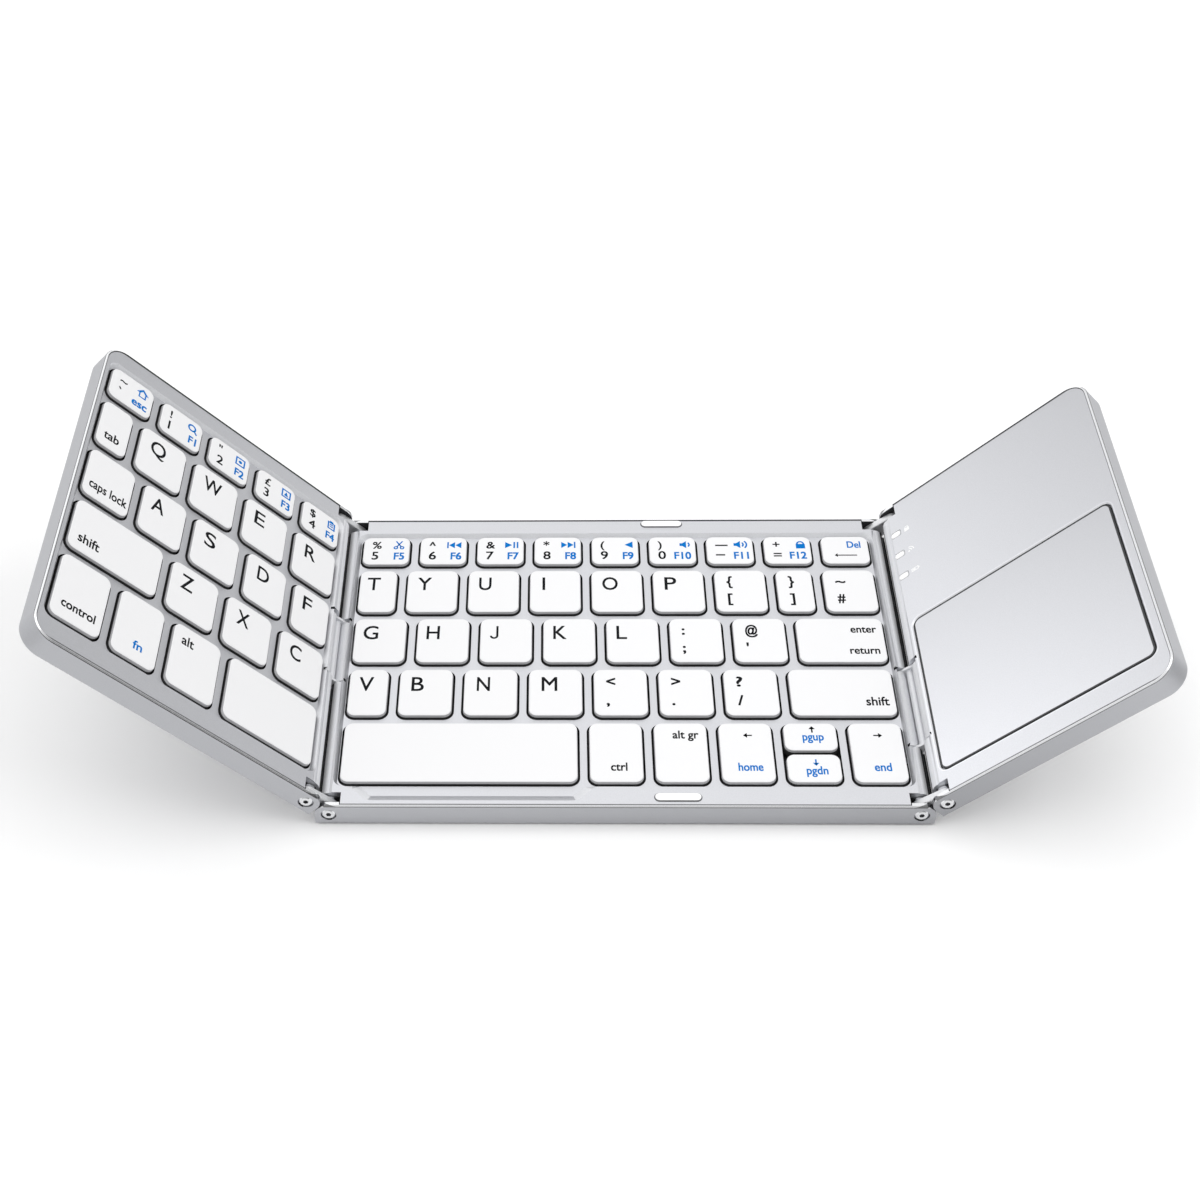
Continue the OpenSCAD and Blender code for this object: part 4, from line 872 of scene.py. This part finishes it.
def add_print(target, text, place, extra, top, axes, settings):
    """Adds one word or sign to a bmesh, laid on the flat top of its key."""
    side, inset, edge, depth, size, weight = PLACES[place]
    inset = (extra[0] if extra else inset) * MM
    height = getattr(settings, size)
    if text in SIGNS:
        mesh = sign_mesh(text, height, settings.thickness)
    else:
        mesh = word_mesh(text, height, settings, getattr(settings, weight))
    left, right, front, rear, level = top
    low, high = mesh_span(mesh, 0)
    room = right - left - 2 * settings.margin
    if high - low > room:
        widen(mesh, room / (high - low))
        low, high = mesh_span(mesh, 0)
    x = {
        "left": left + inset - low,
        "right": right - inset - high,
        "middle": (left + right + low - high) / 2 + inset - low,
    }[side]
    y = rear - depth * MM - height if edge == "rear" else front + depth * MM
    lay(target, mesh, axes, (x, y, level), settings.thickness)


def new_piece(name, shape, material, body):
    """Makes an object of a bmesh, gives it its material and lets it ride on a body."""
    mesh = bpy.data.meshes.new(name)
    shape.to_mesh(mesh)
    shape.free()
    mesh.materials.append(material)
    made = bpy.data.objects.new(name, mesh)
    bpy.context.scene.collection.objects.link(made)
    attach(made, body)


def print_keys(side, inks, settings):
    """Prints every key of a panel, as one piece for each node and ink."""
    axes = panel_axes(side)
    for node, keys in PRINTS[side].items():
        tops = tops_of(node, axes)
        if len(tops) != len(keys):
            raise RuntimeError(f"{node} has {len(tops)} keys and {len(keys)} prints")
        for ink, material in inks.items():
            shape = bmesh.new()
            for top, prints in zip(tops, keys):
                for text, place, own, *extra in prints:
                    if own == ink:
                        add_print(shape, text, place, extra, top, axes, settings)
            if shape.verts:
                new_piece(f"{node}_{ink}", shape, material, node)
            else:
                shape.free()


# Finishing the pieces of the frame


def give(material, *nodes):
    """Gives CAD nodes their finish."""
    for node in nodes:
        held = frame["nodes"][node]
        if not held.material_slots:
            held.data.materials.append(material)
        for place in held.material_slots:
            place.material = material


def finish_faces(node, material, axes, lean, keep=None):
    """Gives another finish to the faces of a node that lean so much to a panel's up.

    Keep is asked with a face's depth below the node's top, its place on the panel and its
    facing there.
    """
    held = frame["nodes"][node].data
    held.materials.append(material)
    top = max(point @ axes[2] for point in points_of(node))
    for face in held.polygons:
        if lean[0] <= face.normal @ axes[2] <= lean[1]:
            place = [face.center @ axis for axis in axes]
            facing = [face.normal @ axis for axis in axes]
            if keep is None or keep(top - place[2], place, facing):
                face.material_index = len(held.materials) - 1


def inside(area, place):
    """Whether a place lies within a reach across and along a panel."""
    return all(low <= spot <= high for (low, high), spot in zip(area, place))


class PanelShape:
    """Where the parts of one panel lie, across it, along its depth and up.

    Each method that starts with is_ answers for a face, given as finish_faces gives it.
    """

    def __init__(self, side):
        self.axes = panel_axes(side)
        self.case = spread([side + "_case"], self.axes, 0)
        self.deck = spread([side + "_deck"], self.axes, 0)
        self.walls = spread([side + "_case"], self.axes, -LIP)
        self.middle = [sum(reach) / 2 for reach in self.walls]
        left, right = self.case[0]
        self.hinge_ends = {"left": [right], "middle": [left, right], "right": [left]}[side]
        self.between_links = (self.deck[0], [spot * BETWEEN_LINKS for spot in self.deck[1]])
        covers = ("left", "right") if side == "middle" else (side, side)
        self.pockets = [
            spread([cover + "_cable_cover"], self.axes, COVER_PLAY)[1] for cover in covers
        ]
        openings = ["touchpad"]
        if side in KEYS_WITHOUT_PRINT:
            openings = [*PRINTS[side], KEYS_WITHOUT_PRINT[side]]
        self.opening = spread(openings, self.axes, WELL_EDGE)

    def from_hinge(self, place):
        """How far a place lies from the nearest hinge end."""
        return min(abs(place[0] - end) for end in self.hinge_ends)

    def is_cut_edge(self, depth, place, facing):
        return depth < RIM * MM

    def is_inner_wall(self, depth, place, facing):
        turns = zip(facing, place, self.middle)
        inwards = sum(turn * (spot - centre) for turn, spot, centre in turns) < 0
        straight = max(abs(facing[0]), abs(facing[1])) > STRAIGHT
        notch = straight and abs(place[1]) > self.walls[1][1] - NOTCH_SHADE * MM
        return inside(self.walls, place) and (inwards or notch)

    def is_knuckle(self, depth, place, facing):
        return inside(self.between_links, place) and self.from_hinge(place) < KNUCKLE * MM

    def is_pocket(self, depth, place, facing):
        front, rear = self.pockets[place[0] > self.middle[0]]
        return front < place[1] < rear and self.from_hinge(place) < POCKET * MM

    def is_floor(self, depth, place, facing):
        return depth > RIM * MM and not self.is_pocket(depth, place, facing)

    def is_facing_gap(self, depth, place, facing):
        outwards = (place[0] - self.middle[0]) * facing[0] > 0
        face = (depth, place, facing)
        return outwards and self.is_knuckle(*face) and not self.is_pocket(*face)

    def is_in_opening(self, depth, place, facing):
        return inside(self.opening, place)

    def is_rolled_edge(self, depth, place, facing):
        return not inside(self.opening, place) and abs(facing[0]) > ROLLING

    def is_well_slope(self, depth, place, facing):
        return depth < WELL_DEPTH * MM and inside(self.opening, place)

    def is_rear_slope(self, depth, place, facing):
        return facing[1] < -FRONTWARDS and inside(self.opening, place)


def finish_shell(side, panel, finish, roll, painted_shade):
    """A blasted shell with a bright cut edge, painted shading from end to end, painted highlight on
    its hinge ends and pockets, and painted shade on its inside and in the hinge gaps.
    """
    node = side + "_case"
    case = blasted_aluminium(f"blasted_{side}_aluminium", finish.case, 0.4)
    # Painted shading: the shell gets lighter or darker from one end to the other.
    fade(case, panel.axes[0], panel.case[0], getattr(finish, node))
    give(case, node)
    edge = cut_aluminium(side, finish.cut_edge, panel.axes, panel.case)
    # Painted highlight on the hinge ends and pockets; painted shade on the inner walls, notches,
    # inner floor and faces in the hinge gaps.
    for material, lean, keep in (
        (edge, RIM_LEAN, panel.is_cut_edge),
        (roll, KNUCKLE_LEAN, panel.is_knuckle),
        (painted_shade, UPRIGHT, panel.is_inner_wall),
        (painted_shade, LEVEL, panel.is_floor),
        (roll, POCKET_LEAN, panel.is_pocket),
        (painted_shade, GAP_LEAN[side], panel.is_facing_gap),
    ):
        finish_faces(node, material, panel.axes, lean, keep)


def finish_deck(side, panel, finish, roll, painted_shade, slope_highlights):
    """An anodised deck with painted shade in its openings and hinge gaps, painted highlight on its
    rolled edges and key well slopes, and painted shading on the side decks.
    """
    node = side + "_deck"
    axes = panel.axes
    left, right = panel.case[0]
    ends = (left - (side != "left") * OPEN_END * MM, right + (side != "right") * OPEN_END * MM)
    deck = anodised_sheet(side, finish.deck, axes, (ends, panel.deck[1]))
    # Painted shading: the side decks get lighter or darker from front to rear and from end to end.
    if side != "middle":
        fade(deck, axes[1], panel.deck[1], getattr(finish, side + "_depth_shading"))
        fade(deck, axes[0], panel.deck[0], getattr(finish, side + "_width_shading"))
    give(deck, node)
    if side == "middle":
        # Painted shadow in a dark line round each spacer pad.
        for part in islands("spacer_pads", axes):
            border(deck, axes, part, PAD_CORNER, PAD_LINE, DARK_LINE)
    if side == "right":
        pad = spread(["touchpad"], axes, 0)
        border(deck, axes, pad, TOUCH_CORNER, TOUCH_SHINE, BRIGHT_LINE)
        for part in islands("indicator_lights", axes):
            border(deck, axes, part, LIGHT_CORNER, LIGHT_LINE, SOFT_LINE)
        # Painted shade on the walls of the openings round the lights.
        lights = spread(["indicator_lights"], axes, LIGHT_EDGE)
        finish_faces(node, painted_shade, axes, UPRIGHT, lambda depth, place, _: inside(lights, place))
    # Painted shade in the key openings and hinge gaps; painted highlight on the rolled edges and
    # key well slopes.
    steps = [
        (painted_shade, UPRIGHT, panel.is_in_opening),
        (roll, ROLL_LEAN, panel.is_rolled_edge),
        (painted_shade, GAP_LEAN[side], panel.is_facing_gap),
        (slope_highlights[0], SLOPING, panel.is_well_slope),
    ]
    if side != "right":
        steps.append((slope_highlights[1], SLOPING, panel.is_rear_slope))
    for material, lean, keep in steps:
        finish_faces(node, material, axes, lean, keep)


def settings_of(context):
    """The finish, print and stage settings of the scene."""
    return [getattr(context.scene, name) for name in SETTINGS]


# Operators


class KEYBOARD_OT_metal(Operator):
    """Blasted, anodised and diamond-cut aluminium for the shells, decks and cable covers"""

    bl_idname = "keyboard.metal"
    bl_label = "Finish Shells and Decks"

    def execute(self, context):
        finish = settings_of(context)[0]
        # Painted highlight: the key well slopes and rolled edges take the lighter cover colour,
        # with less metallic on the rear slope and rolled edges.
        slope_highlights = (
            blasted_aluminium("anodised_well_slope", finish.cover, 0.4),
            blasted_aluminium("anodised_rear_slope", finish.cover, 0.5, metallic=0.25),
        )
        roll = blasted_aluminium("anodised_rolled_edge", finish.cover, 0.52, metallic=0.4)
        # Painted shade: dark metal for openings, inner walls, notches and hinge gaps.
        painted_shade = painted_shade_metal("stained_window_edge")
        give(roll, "left_cable_cover", "right_cable_cover")
        for side in SIDES:
            panel = PanelShape(side)
            finish_shell(side, panel, finish, roll, painted_shade)
            finish_deck(side, panel, finish, roll, painted_shade, slope_highlights)
        return {"FINISHED"}


class KEYBOARD_OT_caps(Operator):
    """White ABS for every key cap, with walls painted greyer and skirts painted dark as shade"""

    bl_idname = "keyboard.caps"
    bl_label = "Finish Key Caps"

    def execute(self, context):
        finish = settings_of(context)[0]
        caps = moulded_abs("painted_ABS_top", finish.cap)
        for side, plain_key in KEYS_WITHOUT_PRINT.items():
            axes = panel_axes(side)
            top = max(point @ axes[2] for point in points_of(plain_key))
            # Painted shade: greyer cap walls, dark below the deck's level.
            walls = shaded_skirt_abs(side, finish.cap_wall, axes[2], top - SKIRT * MM)
            for node in (*PRINTS[side], plain_key):
                give(caps, node)
                finish_faces(node, walls, axes, CAP_WALL_LEAN)
        return {"FINISHED"}


class KEYBOARD_OT_hinges(Operator):
    """Polished steel for the links, screws and washers, and film for the cables between panels"""

    bl_idname = "keyboard.hinges"
    bl_label = "Finish Hinges"

    def execute(self, context):
        shade = settings_of(context)[0].steel
        steel = polished_steel("polished_stainless_steel", shade, 0.2)
        for node in frame["nodes"]:
            if node.endswith(("_screws", "_washers")):
                give(steel, node)
        give(polished_steel("barrelled_stainless_steel", shade, 0.42), "left_links", "right_links")
        # Painted shade on the screws below the outer part of their heads: sockets and shanks.
        socket = painted_shade_metal("blackened_screw_socket")
        for side in SIDES:
            node = side + "_hinge_screws"
            across, depthwise, out = panel_axes(side)
            heads = max(abs(point @ depthwise) for point in points_of(node)) - SOCKET_START * MM
            finish_faces(
                node, socket, (across, out, depthwise), ANY_LEAN,
                lambda depth, place, facing: abs(place[2]) < heads,
            )
        give(polyimide_film(), "left_hinge_cable", "right_hinge_cable")
        return {"FINISHED"}


class KEYBOARD_OT_inner(Operator):
    """Plates, dome films, boards, cell and charging port inside the shells"""

    bl_idname = "keyboard.inner"
    bl_label = "Finish Inner Pieces"

    def execute(self, context):
        give(stamped_steel(), "middle_plate", "left_plate", "charging_port")
        give(silicone_film(), "middle_dome_sheet", "left_dome_sheet")
        give(circuit_board(), "main_board", "touch_board")
        give(pouch_foil(), "battery")
        return {"FINISHED"}


class KEYBOARD_OT_touch(Operator):
    """Touchpad, lights, spacer pads and rubber feet"""

    bl_idname = "keyboard.touch"
    bl_label = "Finish Touchpad, Lights and Pads"

    def execute(self, context):
        finish = settings_of(context)[0]
        axes = panel_axes("right")
        area = spread(["touchpad"], axes, 0)
        film = metallic_film(finish.touch, axes, area)
        # Painted shading across the touchpad, the same as on the right deck.
        fade(film, axes[1], area[1], finish.right_depth_shading)
        fade(film, axes[0], spread(["right_deck"], axes, 0)[0], finish.right_width_shading)
        give(film, "touchpad")
        give(glossy_polycarbonate(finish.glossy), "spacer_pads", "indicator_lights")
        # Painted shade: the spacer pads' walls take the greyer key wall colour.
        pad_wall_shade = moulded_abs("moulded_pad_wall", finish.cap_wall)
        finish_faces("spacer_pads", pad_wall_shade, panel_axes("middle"), PAD_WALL_LEAN)
        give(silicone_rubber(finish.rubber), "middle_feet", "left_feet", "right_feet")
        return {"FINISHED"}


class KEYBOARD_OT_prints(Operator):
    """Pad-printed letters, words and signs on the key caps"""

    bl_idname = "keyboard.prints"
    bl_label = "Print Keys"

    def execute(self, context):
        settings = settings_of(context)[1]
        inks = {
            DARK: pad_print("pad_print_dark", settings.ink),
            BLUE: pad_print("pad_print_blue", settings.function_ink),
        }
        for side in PRINTS:
            print_keys(side, inks, settings)
        return {"FINISHED"}


class KEYBOARD_OT_light_signs(Operator):
    """White signs on the deck beside the three lights"""

    bl_idname = "keyboard.light_signs"
    bl_label = "Print Light Signs"

    def execute(self, context):
        settings = settings_of(context)[1]
        axes = panel_axes("right")
        level = max(point @ axes[2] for point in points_of("right_deck"))
        lights = islands("indicator_lights", axes)
        shape = bmesh.new()
        for name, ((_, end), (front, rear)) in zip(("battery", "radio", "lock"), lights):
            mesh = sign_mesh(name, settings.light_sign, settings.thickness)
            place = (
                end + settings.light_sign_gap, (front + rear - settings.light_sign) / 2, level
            )
            lay(shape, mesh, axes, place, settings.thickness)
        white = pad_print("pad_print_white", linear("#FDFDFD"))
        new_piece("light_signs", shape, white, "right_panel")
        return {"FINISHED"}


def soft_box(name, place, side, power):
    """A large square lamp that faces the middle of the stage."""
    lamp = bpy.data.lights.new(name, "AREA")
    lamp.shape = "RECTANGLE"
    lamp.size = lamp.size_y = side
    lamp.energy = power
    made = bpy.data.objects.new(name, lamp)
    made.location = place
    made.rotation_mode = "QUATERNION"
    made.rotation_quaternion = (-Vector(place)).to_track_quat("-Z", "Y")
    bpy.context.scene.collection.objects.link(made)


def tilted_room(stage):
    """A white studio room that gets evenly darker towards the right and the front.

    The camera itself sees a plain pale wall, so the floor runs into it without a dark band.
    """
    room = bpy.data.worlds.new("studio")
    room.use_nodes = True
    room.node_tree.nodes.clear()
    white = (1, 1, 1, 1)
    towards = add_node(room, "ShaderNodeTexCoord").outputs["Generated"]
    tilt = add_node(
        room, "ShaderNodeVectorMath", {"operation": "DOT_PRODUCT", 1: stage.room_tilt},
        {0: towards},
    )
    level = add_node(
        room, "ShaderNodeMath", {"operation": "ADD", 1: stage.room}, {0: tilt.outputs["Value"]}
    )
    darkest = 0.05
    kept = add_node(
        room, "ShaderNodeMath", {"operation": "MAXIMUM", 1: darkest}, {0: level.outputs["Value"]}
    )
    light = add_node(
        room, "ShaderNodeBackground", {"Color": white}, {"Strength": kept.outputs["Value"]}
    )
    wall = add_node(room, "ShaderNodeBackground", {"Color": white, "Strength": stage.backdrop})
    seen = add_node(room, "ShaderNodeLightPath").outputs["Is Camera Ray"]
    shown = add_node(
        room, "ShaderNodeMixShader",
        links={0: seen, 1: light.outputs["Background"], 2: wall.outputs["Background"]},
    )
    add_node(room, "ShaderNodeOutputWorld", links={"Surface": shown.outputs["Shader"]})
    return room


def add_camera(stage):
    """The camera of the stage, set by its place, its three angles and its lens."""
    lens = bpy.data.cameras.new("camera")
    lens.sensor_width = SENSOR
    lens.lens = stage.focal_pixels * SENSOR / RENDER_SIDE
    lens.shift_x = -stage.centre_right / RENDER_SIDE
    lens.shift_y = stage.centre_down / RENDER_SIDE
    lens.clip_start, lens.clip_end = 0.01, 50
    down, turn, roll = stage.down, stage.turn, stage.roll
    flat = math.cos(down)
    ahead = Vector((math.sin(turn) * flat, math.cos(turn) * flat, -math.sin(down)))
    sideways = Vector((math.cos(turn), -math.sin(turn), 0))
    above = sideways.cross(ahead)
    right = sideways * math.cos(roll) + above * math.sin(roll)
    up = above * math.cos(roll) - sideways * math.sin(roll)
    pose = Matrix((right, up, -ahead)).transposed().to_4x4()
    pose.translation = Vector(stage.camera)
    camera = bpy.data.objects.new("camera", lens)
    camera.matrix_world = pose
    bpy.context.scene.collection.objects.link(camera)
    bpy.context.scene.camera = camera


class KEYBOARD_OT_stage(Operator):
    """Camera, pale floor and soft studio light"""

    bl_idname = "keyboard.stage"
    bl_label = "Set Stage"

    def execute(self, context):
        stage = settings_of(context)[2]
        add_camera(stage)
        shape = bmesh.new()
        bmesh.ops.create_circle(shape, cap_ends=True, radius=8.0, segments=96)
        mesh = bpy.data.meshes.new("floor")
        shape.to_mesh(mesh)
        shape.free()
        floor = bpy.data.objects.new("floor", mesh)
        context.scene.collection.objects.link(floor)
        paper = grained(
            "matt_paper_floor", stage.floor, size=2.0, depth=0.01, rough=(0.85, 0.95), darkest=1
        )
        mesh.materials.append(paper)
        context.scene.world = tilted_room(stage)
        soft_box("top_box", (-0.2, 0.0, 1.7), 1.6, stage.top_lamp)
        soft_box("side_box", (1.3, -0.1, 1.3), 1.4, stage.side_lamp)
        context.scene.view_settings.view_transform = "Standard"
        return {"FINISHED"}


class KEYBOARD_PT_panel(Panel):
    """The steps that finish the folding keyboard"""

    bl_idname = "KEYBOARD_PT_panel"
    bl_label = "Folding Keyboard"
    bl_space_type = "VIEW_3D"
    bl_region_type = "UI"
    bl_category = "Keyboard"

    def draw(self, context):
        for settings in settings_of(context):
            for name in type(settings).__annotations__:
                self.layout.prop(settings, name)
        for operator in OPERATORS:
            self.layout.operator(operator.bl_idname)


SETTINGS = {
    "keyboard_finish": FinishSettings,
    "keyboard_print": PrintSettings,
    "keyboard_stage": StageSettings,
}
OPERATORS = (
    KEYBOARD_OT_metal,
    KEYBOARD_OT_caps,
    KEYBOARD_OT_hinges,
    KEYBOARD_OT_inner,
    KEYBOARD_OT_touch,
    KEYBOARD_OT_prints,
    KEYBOARD_OT_light_signs,
    KEYBOARD_OT_stage,
)


def register():
    for kind in (*SETTINGS.values(), *OPERATORS, KEYBOARD_PT_panel):
        bpy.utils.register_class(kind)
    for name, kind in SETTINGS.items():
        setattr(bpy.types.Scene, name, PointerProperty(type=kind))


def unregister():
    for name in SETTINGS:
        delattr(bpy.types.Scene, name)
    for kind in (KEYBOARD_PT_panel, *reversed(OPERATORS), *reversed(SETTINGS.values())):
        bpy.utils.unregister_class(kind)


def main():
    register()
    bpy.ops.keyboard.metal()
    bpy.ops.keyboard.caps()
    bpy.ops.keyboard.hinges()
    bpy.ops.keyboard.inner()
    bpy.ops.keyboard.touch()
    bpy.ops.keyboard.prints()
    bpy.ops.keyboard.light_signs()
    bpy.ops.keyboard.stage()


if __name__ == "__main__":
    main()
